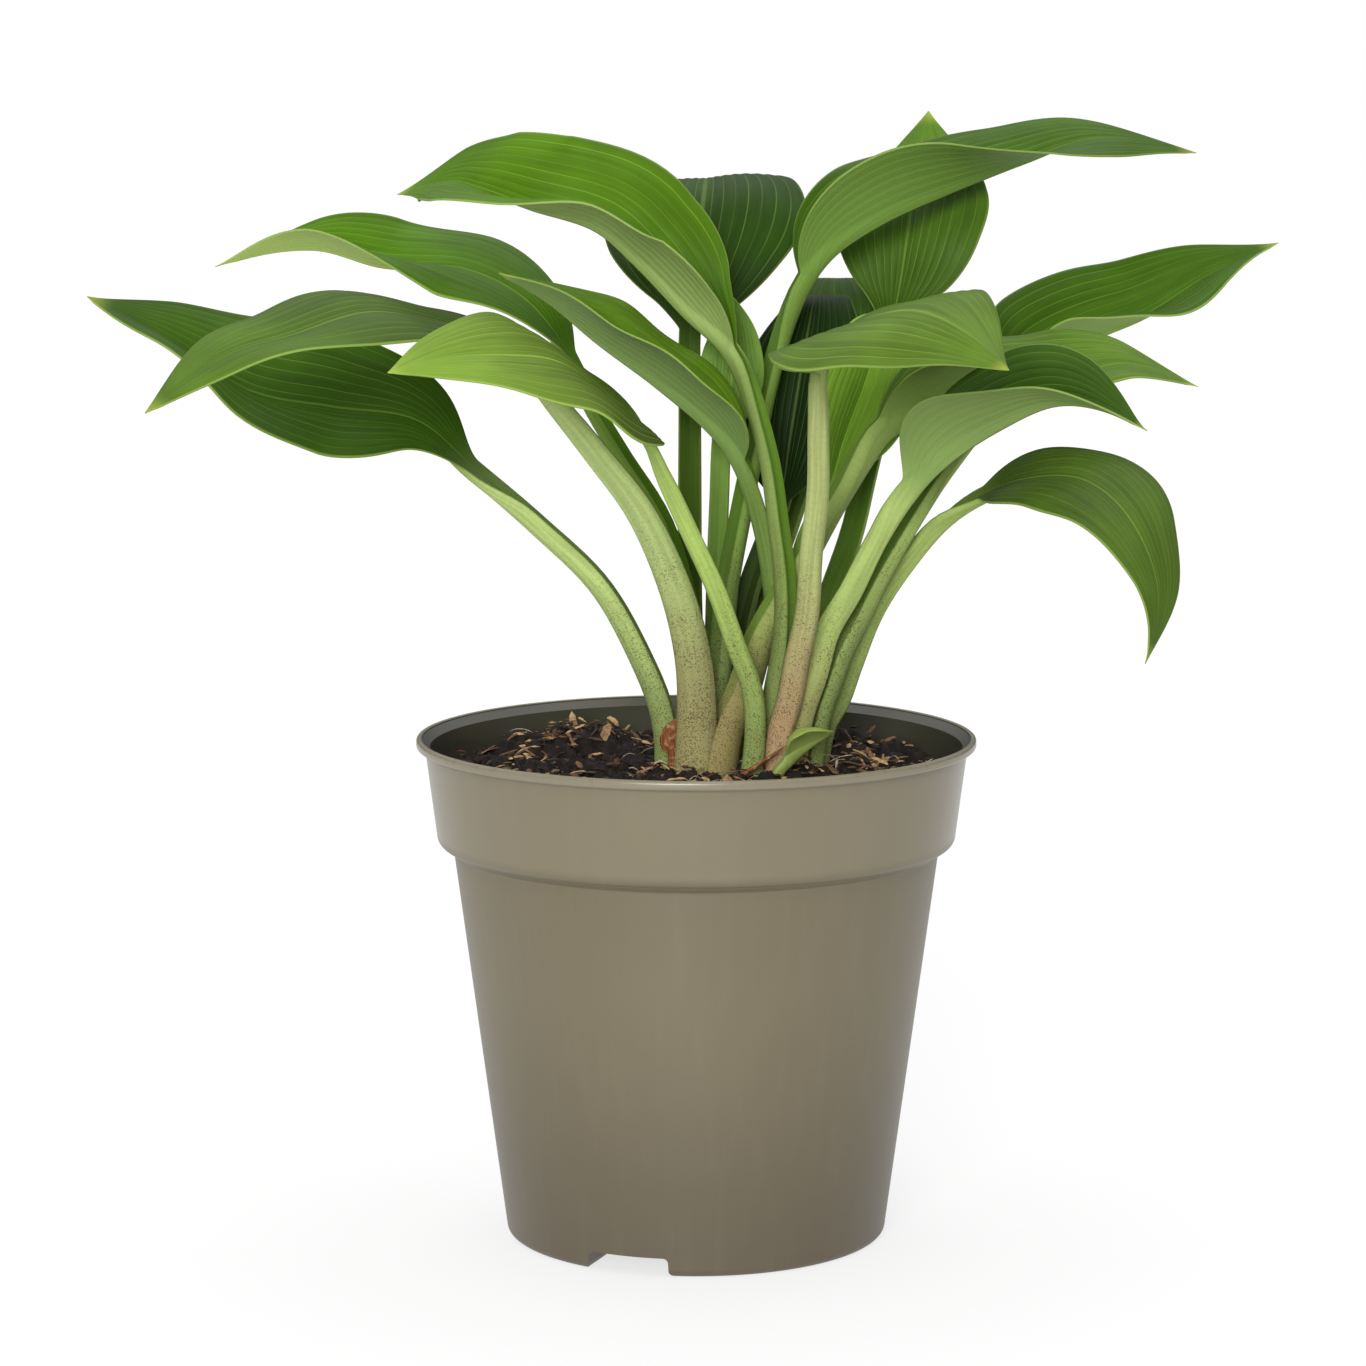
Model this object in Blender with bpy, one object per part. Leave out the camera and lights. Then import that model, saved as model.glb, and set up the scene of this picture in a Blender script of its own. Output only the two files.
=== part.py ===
"""A hosta growing in a round plastic nursery pot.

The pot stands on the floor at z = 0 with its axis on the origin. It holds a plug of
potting soil, and the crown (the short rootstock) sits in a hollow in the middle of the
soil. Every leaf is one piece, grown from the crown as a channelled stalk that opens into
a blade. A rolled young shoot and two dry sheaths stand between the stalks.

All lengths in this source are millimetres; the meshes are written in metres.
"""

import bpy
import numpy as np

MM = 0.001                      # metres in a millimetre
GAP = 0.3                       # clearance left between neighbouring pieces

# ---- pot
SEGMENTS = 48                   # facets around every turned shape of the pot
POT_HEIGHT = 153.5
LIP_RADIUS = 85.0               # outside of the rolled lip
LIP_INNER = 83.2
LIP_DROP = 2.8                  # height of the lip
BAND_TOP_RADIUS = 82.2          # the wide band under the lip
BAND_FOOT_RADIUS = 78.9
BAND_FOOT = 124.0               # height at which the band starts to turn in
BODY_TOP_RADIUS = 73.6
BODY_TOP = 117.9                # height of the top of the tapered body
FOOT_RADIUS = 58.2
CORNER = 2.4                    # rounded corner between wall and foot
WALL = 1.4
FLOOR_TOP = 2.4
HOLLOW_RADIUS = 43.0            # the underside is hollow inside this radius
HOLLOW_HEIGHT = 1.0
INNER_WALL = [                  # (radius, height) of the wall's inside, from the floor up
    (FOOT_RADIUS - WALL, FLOOR_TOP),
    (BODY_TOP_RADIUS - WALL, BODY_TOP),
    (BAND_FOOT_RADIUS - 2.0 * WALL, BODY_TOP + 2.6),
    (BAND_FOOT_RADIUS - WALL, BAND_FOOT),
    (BAND_TOP_RADIUS - WALL, POT_HEIGHT - LIP_DROP),
    (LIP_INNER, POT_HEIGHT - 0.4),
]

# ---- drain pockets, folded into the floor at the edge of the foot
POCKET_ANGLES = (-110.7, 9.3, 129.3)
POCKET_WIDTH = 25.4
POCKET_HEIGHT = 5.8
POCKET_INNER = 38.0             # distance of the pocket's inner end from the axis
POCKET_REACH = 70.0             # distance the cutter runs out to, beyond the wall
DRAIN_RADIUS = 4.5
DRAIN_DISTANCE = 46.0           # distance of the drain hole from the axis

# ---- soil and crown
SOIL_EDGE = 142.6               # height of the soil against the wall
SOIL_MOUND = 2.2                # how much it rises towards the crown
SOIL_ROUGH = 0.7                # height of its lumps
CROWN_CENTRE = (13.0, 2.0)
CROWN_RADIUS = 30.0
CROWN_TOP = 139.0
CROWN_FOOT = 118.0
PIT_TOP = 150.0                 # the pit for the crown is cut from above the soil down
STALK_FOOT = CROWN_TOP + GAP    # height at which every stalk starts

# ---- leaves
LEAF_THICKNESS = 0.6
TIP_HALF = 0.5                  # half width left at the very tip
CHANNEL_ANGLE = 32.0            # how far the rims of a stalk's channel stand up, in degrees
BULGE = 0.08                    # swelling of each half of a blade, as a share of its width
STALK_HALVES = (4.2, 3.0)       # half width of a stalk at its foot and at its top
SLOW_START = 0.03               # share of the blade over which it widens slowly at first
STALK_RINGS = 8
BLADE_RINGS = 10
HALF_COLUMNS = 2

# Each leaf: where its stalk starts on the crown, the points its stalk and then its midrib
# pass through, the width of the blade, and how far its left and right halves lean above
# the level at equal steps along the blade, in degrees. "fullness" is the pair of powers
# that shape the outline at the stalk end and at the tip. "heading" is the direction the
# leaf faces, in degrees from +X, where it isn't simply the direction of its tip.
LEAVES = {
    "leaf_left_low": dict(
        foot=(-9, 3),
        stem=[(-9, 3, 159), (-16, 6, 179), (-29, 9, 199), (-48, 12, 217)],
        blade=[(-68, 14, 234), (-85, 15, 248), (-111, 16, 252), (-136, 14, 257), (-163, 12, 275),
               (-184, 10, 286)],
        width=58, left=(-20, -30, 0, -15), right=(30, 60, 45, 15),
        fullness=(1.1, 1.15), stalk_halves=(4.6, 3.8),
    ),
    "leaf_left_front": dict(
        foot=(-2, -8),
        stem=[(-2, -8, 162), (-2, -10, 178), (-6, -14, 199), (-16, -19, 224), (-30, -24, 243),
              (-44, -29, 261)],
        blade=[(-53, -34, 274), (-74, -42, 281), (-94, -52, 285), (-116, -65, 279), (-134, -76, 274),
               (-155, -88, 259)],
        width=53, left=(-5, -15, -5, -25), right=(20, 10, 15, 10),
        fullness=(0.7, 1.15), stalk_halves=(5.0, 3.2),
    ),
    "leaf_left_back": dict(
        foot=(-1, 8),
        stem=[(1, 9, 169), (-2, 10, 191), (-10, 17, 217), (-23, 25, 237), (-33, 33, 253)],
        blade=[(-39, 38, 266), (-53, 44, 283), (-72, 50, 292), (-98, 56, 293), (-120, 60, 298),
               (-151, 64, 292)],
        width=55, left=(10, -10, 25, 45), right=(20, 15, 40, 25),
        fullness=(1.0, 1.6),
    ),
    "leaf_left_inner": dict(
        foot=(22, 4),
        stem=[(26, 8, 175), (24, 9, 197), (20, 8, 218)],
        blade=[(13, 5, 237), (6, 3, 246), (-11, 0, 260), (-29, -3, 273), (-45, -6, 286),
               (-59, -8, 294)],
        width=51, left=(30, 20, 20, 30), right=(60, 35, 40, 15),
    ),
    "leaf_front_left": dict(
        foot=(16, -14),
        stem=[(18, -15, 156), (17, -16, 170), (12, -19, 184), (6, -23, 201), (-2, -28, 219),
              (-9, -34, 235)],
        blade=[(-14, -40, 248), (-24, -48, 258), (-39, -60, 271), (-54, -71, 274), (-72, -84, 274),
               (-86, -96, 271)],
        width=54, left=(-15, -30, -30, -35), right=(35, 20, 35, 15),
        fullness=(0.4, 1.1), stalk_halves=(3.4, 2.6),
    ),
    "leaf_left_high": dict(
        foot=(21, -5),
        stem=[(24, -6, 165), (27, -7, 184), (27, -7, 202), (25, -5, 218), (22, -1, 238),
              (17, 3, 255)],
        blade=[(10, 5, 270), (-3, 5, 282), (-18, 4, 297), (-30, 4, 307), (-50, 8, 313),
               (-65, 20, 318), (-76, 36, 320), (-93, 56, 315)],
        width=58, left=(65, 35, -12, -35), right=(100, 45, 60, 25),
        fullness=(0.75, 1.25),
    ),
    "leaf_back_broad": dict(
        foot=(1, 18),
        stem=[(-1, 18, 162), (-2, 19, 193), (-2, 22, 223), (-2, 25, 250)],
        blade=[(-2, 30, 274), (-1, 34, 283), (0, 40, 297), (2, 52, 312), (3, 71, 319),
               (3, 88, 317), (4, 100, 307)],
        width=64, left=(30, -10, -10, -5), right=(10, 0, 0, -5),
        fullness=(0.9, 1.2),
    ),
    "leaf_right_high": dict(
        foot=(6, 1),
        stem=[(5, 2, 163), (7, 4, 176), (9, 8, 197), (13, 14, 218), (18, 22, 241),
              (23, 30, 262), (29, 34, 280)],
        blade=[(34, 36, 290), (42, 39, 299), (57, 43, 308), (77, 52, 316), (102, 62, 325),
               (126, 74, 332), (159, 90, 327)],
        width=53, left=(80, 30, 25, 10), right=(90, 46, -8, -42),
        fullness=(0.6, 1.15),
    ),
    "leaf_front_right": dict(
        foot=(25, -14),
        stem=[(25, -14, 156), (28, -15, 167), (30, -17, 179), (33, -20, 194), (34, -23, 211),
              (36, -26, 231), (36, -28, 250)],
        blade=[(36, -32, 267), (41, -38, 277), (51, -53, 284), (66, -72, 286), (87, -98, 272)],
        width=59, left=(35, 5, 15, -30), right=(0, -28, -46, -50),
        fullness=(0.3, 1.0),
    ),
    "leaf_middle_dark": dict(
        foot=(11, 9),
        stem=[(9, 11, 163), (13, 14, 184), (17, 18, 199), (22, 22, 212)],
        blade=[(26, 26, 223), (29, 31, 241), (32, 37, 259), (35, 46, 275), (37, 57, 283),
               (38, 74, 280)],
        width=40, left=(15, -5, -10, -10), right=(15, 0, 0, -5),
    ),
    "leaf_back_upright": dict(
        foot=(18, 18),
        stem=[(29, 21, 164), (37, 23, 181), (42, 26, 195), (48, 30, 212), (52, 35, 228),
              (57, 41, 249)],
        blade=[(60, 50, 272), (63, 60, 283), (66, 64, 301), (68, 76, 315), (71, 88, 329),
               (74, 96, 340)],
        width=50, left=(35, 5, -30, -40), right=(20, 15, 5, 0),
        fullness=(1.2, 1.15), heading=85,
    ),
    "leaf_right_back": dict(
        foot=(34, -1),
        stem=[(37, -2, 161), (40, -3, 170), (43, -3, 179), (48, -3, 189), (55, -2, 203),
              (71, 8, 228), (85, 26, 244)],
        blade=[(95, 44, 256), (109, 56, 264), (126, 63, 271), (142, 68, 277), (163, 73, 290),
               (184, 77, 299)],
        width=53, left=(75, 45, 45, 20), right=(45, 25, 0, 10),
        fullness=(0.55, 1.15),
    ),
    "leaf_right_middle": dict(
        foot=(5, -9),
        stem=[(8, -8, 157), (13, -5, 168), (18, -1, 183), (27, 2, 199), (40, 4, 222),
              (49, 5, 236)],
        blade=[(57, 8, 246), (71, 11, 252), (89, 14, 259), (111, 16, 261), (131, 18, 265),
               (153, 20, 258)],
        width=52, left=(80, 30, 35, 0), right=(80, 25, -5, -30),
        fullness=(0.8, 1.3), stalk_halves=(5.2, 3.4),
    ),
    "leaf_right_front": dict(
        foot=(28, -5),
        stem=[(30, -7, 159), (35, -8, 174), (39, -7, 187), (46, -8, 199), (54, -10, 215)],
        blade=[(64, -13, 230), (74, -19, 240), (89, -27, 250), (104, -34, 257), (116, -43, 257),
               (130, -54, 251)],
        width=50, left=(60, 55, 60, 40), right=(90, 35, 20, 20),
        fullness=(0.95, 1.6),
    ),
    "leaf_right_drooping": dict(
        foot=(36, 9),
        stem=[(39, 9, 156), (43, 9, 163), (47, 9, 174), (54, 9, 191), (64, 9, 206),
              (75, 6, 219)],
        blade=[(86, 0, 227), (99, -12, 233), (114, -25, 234), (126, -39, 225), (134, -52, 205),
               (130, -60, 184)],
        width=44, left=(50, 15, 5, 0), right=(-15, -20, -10, 5),
        fullness=(0.8, 1.4),
    ),
    "leaf_middle_small": dict(
        foot=(9, 17),
        stem=[(6, 18, 165), (6, 19, 193), (7, 20, 223)],
        blade=[(8, 22, 245), (10, 23, 255), (11, 24, 266), (11, 23, 277), (9, 23, 287)],
        width=20, left=(10, 10, 10), right=(10, 10, 10),
        heading=90, stalk_halves=(3.2, 2.6),
    ),
    "leaf_middle_right": dict(
        foot=(28, 12),
        stem=[(32, 12, 169), (31, 12, 190), (33, 12, 209), (37, 13, 219)],
        blade=[(41, 15, 229), (45, 19, 242), (50, 24, 255), (56, 31, 269), (64, 37, 276)],
        width=35, left=(40, 50, 50, 40), right=(10, 10, 10, 0),
        fullness=(0.8, 0.8), heading=90,
    ),
    "leaf_back_low": dict(
        foot=(11, 25),
        stem=[(13, 26, 164), (20, 33, 191), (29, 44, 214), (37, 57, 238)],
        blade=[(42, 70, 256), (44, 77, 271), (44, 84, 282), (44, 93, 287), (44, 101, 283)],
        width=40, left=(10, -5, -5), right=(10, -5, -5),
    ),
    "young_shoot": dict(
        foot=(21, -22),
        stem=[(24, -22, 146)],
        blade=[(28, -22, 150), (34, -22, 154), (41, -21, 158)],
        width=8, left=(75, 70, 60), right=(75, 70, 60),
        stalk_halves=(2.4, 1.9),
    ),
    "dry_sheath_left": dict(
        foot=(-9, -4),
        stem=[(-9, -4, 145)],
        blade=[(-9, -4, 149), (-9, -5, 154), (-8, -5, 159)],
        width=5, left=(20, 15, 10), right=(20, 15, 10),
        stalk_halves=(2.0, 1.2), heading=-90,
    ),
    "dry_sheath_front": dict(
        foot=(7, -22),
        stem=[(11, -22, 144)],
        blade=[(15, -22, 146), (20, -22, 149), (27, -22, 154)],
        width=3, left=(20, 15, 10), right=(20, 15, 10),
        stalk_halves=(1.3, 1.0),
    ),
}

LEAF_COLOUR = (0.10, 0.22, 0.04)
COLOURS = {
    "pot": (0.33, 0.31, 0.24),
    "soil": (0.03, 0.022, 0.016),
    "crown": (0.20, 0.17, 0.09),
    "young_shoot": (0.30, 0.38, 0.12),
    "dry_sheath_left": (0.25, 0.14, 0.06),
    "dry_sheath_front": (0.22, 0.12, 0.06),
}


def clear_scene():
    """Remove whatever the scene starts with."""
    for item in list(bpy.data.objects):
        bpy.data.objects.remove(item, do_unlink=True)


def signed_volume(points, triangles):
    """The volume inside a closed surface, negative where its faces look inwards."""
    a, b, c = (points[triangles[:, k]] for k in range(3))
    return float((a * np.cross(b, c)).sum() / 6.0)


def solid(name, points, faces):
    """Make one closed body from points in millimetres, its faces looking outwards."""
    points = np.asarray(points, float)
    fans = [(f[0], f[k], f[k + 1]) for f in faces for k in range(1, len(f) - 1)]
    if signed_volume(points, np.array(fans)) < 0:
        faces = [tuple(reversed(f)) for f in faces]
    mesh = bpy.data.meshes.new(name)
    mesh.from_pydata((points * MM).tolist(), [], [tuple(int(i) for i in f) for f in faces])
    mesh.validate()
    body = bpy.data.objects.new(name, mesh)
    bpy.context.collection.objects.link(body)
    return body


def paint(body, colour, roughness):
    """Give a body its own plain material."""
    material = bpy.data.materials.new(body.name)
    material.use_nodes = True
    shader = material.node_tree.nodes["Principled BSDF"]
    shader.inputs["Base Color"].default_value = (*colour, 1.0)
    shader.inputs["Roughness"].default_value = roughness
    shader.inputs["Metallic"].default_value = 0.0
    material.diffuse_color = (*colour, 1.0)
    body.data.materials.append(material)


def turned(name, profile, segments, centre=(0.0, 0.0), lift=None):
    """Turn a profile of (radius, height) pairs about an upright axis.

    The first and last pairs lie on the axis. `lift` takes the x and y of the points and
    returns what to add to their height.
    """
    rings = np.array(profile[1:-1], float)
    angles = np.arange(segments) * 2.0 * np.pi / segments
    x = centre[0] + rings[:, 0, None] * np.cos(angles)
    y = centre[1] + rings[:, 0, None] * np.sin(angles)
    z = np.repeat(rings[:, 1, None], segments, axis=1)
    if lift is not None:
        z = z + lift(x, y, z)
    points = np.stack([x, y, z], axis=-1).reshape(-1, 3)
    first, last = len(points), len(points) + 1
    poles = np.array([(*centre, profile[0][1]), (*centre, profile[-1][1])])
    faces = []
    for j in range(segments):
        k = (j + 1) % segments
        faces.append((first, k, j))
        for i in range(len(rings) - 1):
            a, b = i * segments, (i + 1) * segments
            faces.append((a + j, a + k, b + k, b + j))
        end = (len(rings) - 1) * segments
        faces.append((end + j, end + k, last))
    return solid(name, np.vstack([points, poles]), faces)


def block(name, angle, near, far, half_width, low, high):
    """A box lying along a radius: from `near` to `far` out, at `angle` degrees from +X."""
    out = np.array([np.cos(np.radians(angle)), np.sin(np.radians(angle))])
    side = np.array([-out[1], out[0]])
    plan = [out * near - side * half_width, out * far - side * half_width,
            out * far + side * half_width, out * near + side * half_width]
    points = [(*p, low) for p in plan] + [(*p, high) for p in plan]
    faces = [(3, 2, 1, 0), (4, 5, 6, 7), (0, 1, 5, 4), (1, 2, 6, 5), (2, 3, 7, 6), (3, 0, 4, 7)]
    return solid(name, points, faces)


def carve(body, cutter, operation="DIFFERENCE"):
    """Cut a shape out of a body, join it on or keep only what it covers; the cutter goes."""
    modifier = body.modifiers.new("carve", "BOOLEAN")
    modifier.operation = operation
    modifier.solver = "EXACT"
    modifier.object = cutter
    evaluated = body.evaluated_get(bpy.context.evaluated_depsgraph_get())
    mesh = bpy.data.meshes.new_from_object(evaluated)
    body.modifiers.clear()
    body.data = mesh
    mesh.name = body.name
    bpy.data.objects.remove(cutter, do_unlink=True)


def inner_radius(height):
    """The radius of the inside of the pot's wall at a height."""
    return float(np.interp(height, [r[1] for r in INNER_WALL], [r[0] for r in INNER_WALL]))


def make_pot():
    """The pot: one thin wall from the floor up to the lip and down again outside."""
    top, lip_foot = POT_HEIGHT, POT_HEIGHT - LIP_DROP
    profile = [(0.0, FLOOR_TOP)] + INNER_WALL + [
        (LIP_INNER + 0.4, top),
        (LIP_RADIUS - 0.8, top),
        (LIP_RADIUS, top - 0.8),
        (LIP_RADIUS, lip_foot + 0.7),
        (LIP_RADIUS - 0.6, lip_foot + 0.1),
        (BAND_TOP_RADIUS + 0.9, lip_foot),
        (BAND_TOP_RADIUS, lip_foot - 0.7),
        (BAND_FOOT_RADIUS, BAND_FOOT),
        (BAND_FOOT_RADIUS - 0.5, BAND_FOOT - 1.9),
        (BAND_FOOT_RADIUS - 1.7, BAND_FOOT - 3.2),
        (BODY_TOP_RADIUS + 1.4, BODY_TOP + 1.2),
        (BODY_TOP_RADIUS, BODY_TOP),
        (FOOT_RADIUS, CORNER),
        (FOOT_RADIUS - 0.4, 0.3 * CORNER),
        (FOOT_RADIUS - CORNER, 0.0),
        (HOLLOW_RADIUS + 1.0, 0.0),
        (HOLLOW_RADIUS, HOLLOW_HEIGHT),
        (0.0, HOLLOW_HEIGHT),
    ]
    pot = turned("pot", profile, SEGMENTS)
    half = POCKET_WIDTH / 2.0
    reach = FOOT_RADIUS - 0.5 * WALL
    for angle in POCKET_ANGLES:
        roof = block("roof", angle, POCKET_INNER - WALL, FOOT_RADIUS, half + WALL,
                     FLOOR_TOP - 1.0, POCKET_HEIGHT + WALL)
        within = turned("within", [(0.0, 20.0), (reach, 20.0), (reach, -5.0), (0.0, -5.0)],
                        SEGMENTS)
        carve(roof, within, "INTERSECT")
        carve(pot, roof, "UNION")
    for angle in POCKET_ANGLES:
        carve(pot, block("pocket", angle, POCKET_INNER, POCKET_REACH, half, -5.0, POCKET_HEIGHT))
        out = np.radians(angle)
        hole = turned("hole", [(0.0, POCKET_HEIGHT + 5.0), (DRAIN_RADIUS, POCKET_HEIGHT + 5.0),
                               (DRAIN_RADIUS, POCKET_HEIGHT - 2.0), (0.0, POCKET_HEIGHT - 2.0)],
                      16, (DRAIN_DISTANCE * np.cos(out), DRAIN_DISTANCE * np.sin(out)))
        carve(pot, hole)
    return pot


def crown_profile(spread, top):
    """The crown's outline with its flat top at a height, grown by `spread` all round."""
    r = CROWN_RADIUS + spread
    return [
        (0.0, top),
        (r - 1.0, top),
        (r, CROWN_TOP - 1.0),
        (r, CROWN_TOP - 7.0),
        (0.8 * r, CROWN_FOOT + 4.0 - spread),
        (0.4 * r, CROWN_FOOT - spread),
        (0.0, CROWN_FOOT - spread),
    ]


def make_crown():
    """The crown: a squat rootstock with a flat top that every stalk grows from."""
    return turned("crown", crown_profile(0.0, CROWN_TOP), 32, CROWN_CENTRE)


def soil_lift(x, y, z):
    """Lumps and a low mound around the crown, fading out at the wall and below the top."""
    radius = np.hypot(x, y)
    free = np.clip((inner_radius(SOIL_EDGE) - 6.0 - radius) / 12.0, 0.0, 1.0)
    away = np.hypot(x - CROWN_CENTRE[0], y - CROWN_CENTRE[1])
    mound = SOIL_MOUND * np.exp(-((away / 42.0) ** 2))
    lumps = np.sin(0.31 * x + 1.0) * np.cos(0.27 * y) + np.sin(0.13 * x - 0.22 * y)
    return np.where(z >= SOIL_EDGE - 0.01, free * (mound + 0.5 * SOIL_ROUGH * lumps), 0.0)


def make_soil():
    """The plug of soil: it fills the pot up to a finger's width below the lip."""
    low = FLOOR_TOP + GAP
    edge = inner_radius(SOIL_EDGE) - GAP
    top = [(r, SOIL_EDGE) for r in (12.0, 24.0, 34.0, 44.0, 54.0, 64.0, 72.0, edge - 1.0)]
    wall = [(edge, SOIL_EDGE - 0.8)]
    wall += [(r - 1.1 * GAP, z + GAP) for r, z in reversed(INNER_WALL[1:4])]
    wall += [(FOOT_RADIUS - WALL - GAP, low)]
    profile = [(0.0, SOIL_EDGE)] + top + wall + [(0.0, low)]
    soil = turned("soil", profile, SEGMENTS, lift=soil_lift)
    carve(soil, turned("pit", crown_profile(GAP, PIT_TOP), 32, CROWN_CENTRE))
    for angle in POCKET_ANGLES:
        carve(soil, block("room", angle, POCKET_INNER - WALL - GAP, POCKET_REACH,
                          POCKET_WIDTH / 2.0 + WALL + GAP, -5.0, POCKET_HEIGHT + WALL + GAP))
    return soil


def smooth_path(points):
    """Knots and tangents of a smooth curve through points.

    The knots lie the square root of each chord apart. The tangent at a point is that of
    the parabola through it and its two neighbours.
    """
    points = np.asarray(points, float)
    step = np.sqrt(np.linalg.norm(np.diff(points, axis=0), axis=1))
    knots = np.concatenate([[0.0], np.cumsum(step)])
    slope = np.diff(points, axis=0) / step[:, None]
    before, after = step[:-1, None], step[1:, None]
    inside = (slope[1:] * before + slope[:-1] * after) / (before + after)
    first = 2.0 * slope[0] - inside[0]
    last = 2.0 * slope[-1] - inside[-1]
    return points, knots, np.vstack([first, inside, last])


def along(path, u):
    """Points of a smooth path at knot values u, by cubic Hermite pieces."""
    points, knots, tangents = path
    i = np.clip(np.searchsorted(knots, u, side="right") - 1, 0, len(points) - 2)
    h = (knots[i + 1] - knots[i])[:, None]
    x = (u[:, None] - knots[i][:, None]) / h
    return ((2 * x**3 - 3 * x**2 + 1) * points[i] + (x**3 - 2 * x**2 + x) * h * tangents[i]
            + (3 * x**2 - 2 * x**3) * points[i + 1] + (x**3 - x**2) * h * tangents[i + 1])


def between(values, s):
    """Smooth values at s in 0..1, passing through equally spaced given values."""
    values = np.asarray(values, float)
    spaced = np.stack([values, np.zeros_like(values), np.zeros_like(values)], axis=1)
    step = 1.0 / (len(values) - 1)
    slope = np.diff(values) / step
    inside = 0.5 * (slope[1:] + slope[:-1])
    ends = np.concatenate([[2 * slope[0] - inside[0]], inside, [2 * slope[-1] - inside[-1]]])
    tangents = np.stack([ends, np.zeros_like(ends), np.zeros_like(ends)], axis=1)
    knots = np.arange(len(values)) * step
    return along((spaced, knots, tangents), s)[:, 0]


def unit(vectors):
    """Vectors scaled to length one."""
    return vectors / np.linalg.norm(vectors, axis=-1, keepdims=True)


def rings_along(stalk, total):
    """Distances along a leaf at which its rings lie: even on the stalk, closer at the tip."""
    even = np.linspace(0.0, 1.0, BLADE_RINGS)
    eased = 0.35 * even + 0.65 * (0.5 - 0.5 * np.cos(np.pi * even))
    on_stalk = np.arange(STALK_RINGS) / STALK_RINGS * stalk
    return np.concatenate([on_stalk, stalk + eased * (total - stalk)])


def blade_share(s, a, b):
    """How wide a blade is at s, as a share of its full width.

    It follows e^a (1 - s)^b, where e = s^2 / (s + slow start) grows slowly at first, so the
    stalk flares out into the blade without a corner.
    """
    def shape(at):
        return (at * at / (at + SLOW_START)) ** a * (1.0 - at) ** b

    return shape(s) / shape(np.linspace(0.0, 1.0, 201)).max()


def leaf_surfaces(foot, stem, blade, width, left, right, fullness=(0.7, 1.15),
                  heading=None, stalk_halves=STALK_HALVES):
    """The upper and lower faces of a leaf, as grids of points.

    At each place along the leaf, T points along it, A points level to its left and N up out
    of its upper face. Each half of a cross-section leaves the midrib at an angle above A.
    The half width is that of the stalk, easing into that of the blade.
    The lower face lies under the upper by the leaf's thickness and the depth of the stalk
    or the midrib, which is round in section.
    """
    nodes = [(*foot, STALK_FOOT), *stem, *blade]
    path = smooth_path(nodes)
    fine = np.linspace(0.0, path[1][-1], 400)
    run = np.linalg.norm(np.diff(along(path, fine), axis=0), axis=1)
    length = np.concatenate([[0.0], np.cumsum(run)])
    total = length[-1]
    stalk = float(np.interp(path[1][1 + len(stem)], fine, length))
    here = rings_along(stalk, total)

    def at(distance):
        return along(path, np.interp(np.clip(distance, 0.0, total), length, fine))

    middle = at(here)
    T = unit(at(here + 0.5) - at(here - 0.5))
    if heading is None:
        forward = np.subtract(nodes[-1], nodes[0]) * (1.0, 1.0, 0.0)
    else:
        forward = np.array([np.cos(np.radians(heading)), np.sin(np.radians(heading)), 0.0])
    level = np.cross((0.0, 0.0, 1.0), unit(forward))
    A = unit(level - (T @ level)[:, None] * T)
    N = np.cross(T, A)

    q = np.clip(here / stalk, 0.0, 1.0)
    s = np.clip((here - stalk) / (total - stalk), 0.0, 1.0)
    on_blade = here >= stalk - 1e-9
    low, high = stalk_halves
    rib = np.where(on_blade, high * (1 - s) ** 1.2, low + (high - low) * q**0.6) + TIP_HALF * q
    f = blade_share(s, *fullness)
    half = rib * (1 - f) + 0.5 * width * f
    depth = np.where(on_blade, 0.8 * high * (1 - s) ** 2, low + (0.8 * high - low) * q)
    ease = np.clip((q - 0.8) / 0.2, 0.0, 1.0)
    ease = ease * ease * (3 - 2 * ease)
    skin = LEAF_THICKNESS * np.clip(half / 2.0, 0.0, 1.0)

    upper, lower = [], []
    for v in np.linspace(-1.0, 1.0, 2 * HALF_COLUMNS + 1):
        side, lean, out = (1.0, left, abs(v)) if v > 0 else (-1.0, right, abs(v))
        rising = CHANNEL_ANGLE + (lean[0] - CHANNEL_ANGLE) * ease
        angle = np.radians(np.where(on_blade, between(lean, s), rising))[:, None]
        outward = side * np.cos(angle) * A + np.sin(angle) * N
        normal = -side * np.sin(angle) * A + np.cos(angle) * N
        swell = BULGE * f * half * np.sin(np.pi * out)
        face = middle + outward * (out * half)[:, None] + normal * swell[:, None]
        under = unit(normal * out**0.5 + N * (1 - out**0.5))
        thick = depth * np.sqrt(np.clip(1 - (out * half / rib) ** 2, 0.0, 1.0)) + skin
        upper.append(face)
        lower.append(face - under * thick[:, None])
    return np.stack(upper, axis=1), np.stack(lower, axis=1)


def make_leaf(name, plan):
    """Close a leaf's upper and lower faces into one body, its foot cut flat.

    Both faces are split along the same diagonals, so the thin blade never cuts itself.
    """
    upper, lower = leaf_surfaces(**plan)
    rings = np.concatenate([upper, lower[:, ::-1]], axis=1)
    rings[0, :, 2] = STALK_FOOT
    count, around = rings.shape[:2]
    columns = upper.shape[1]
    faces = []
    for i in range(count - 1):
        for j in range(around):
            k = (j + 1) % around
            a, b = i * around, (i + 1) * around
            if j < columns:
                faces += [(a + j, a + k, b + k), (a + j, b + k, b + j)]
            else:
                faces += [(a + j, a + k, b + j), (a + k, b + k, b + j)]
    for start, order in ((0, -1), ((count - 1) * around, 1)):
        for j in range(columns - 1):
            strip = (j, j + 1, around - 2 - j, around - 1 - j)
            faces.append(tuple(start + i for i in strip)[::order])
    return solid(name, rings.reshape(-1, 3), faces)


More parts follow.
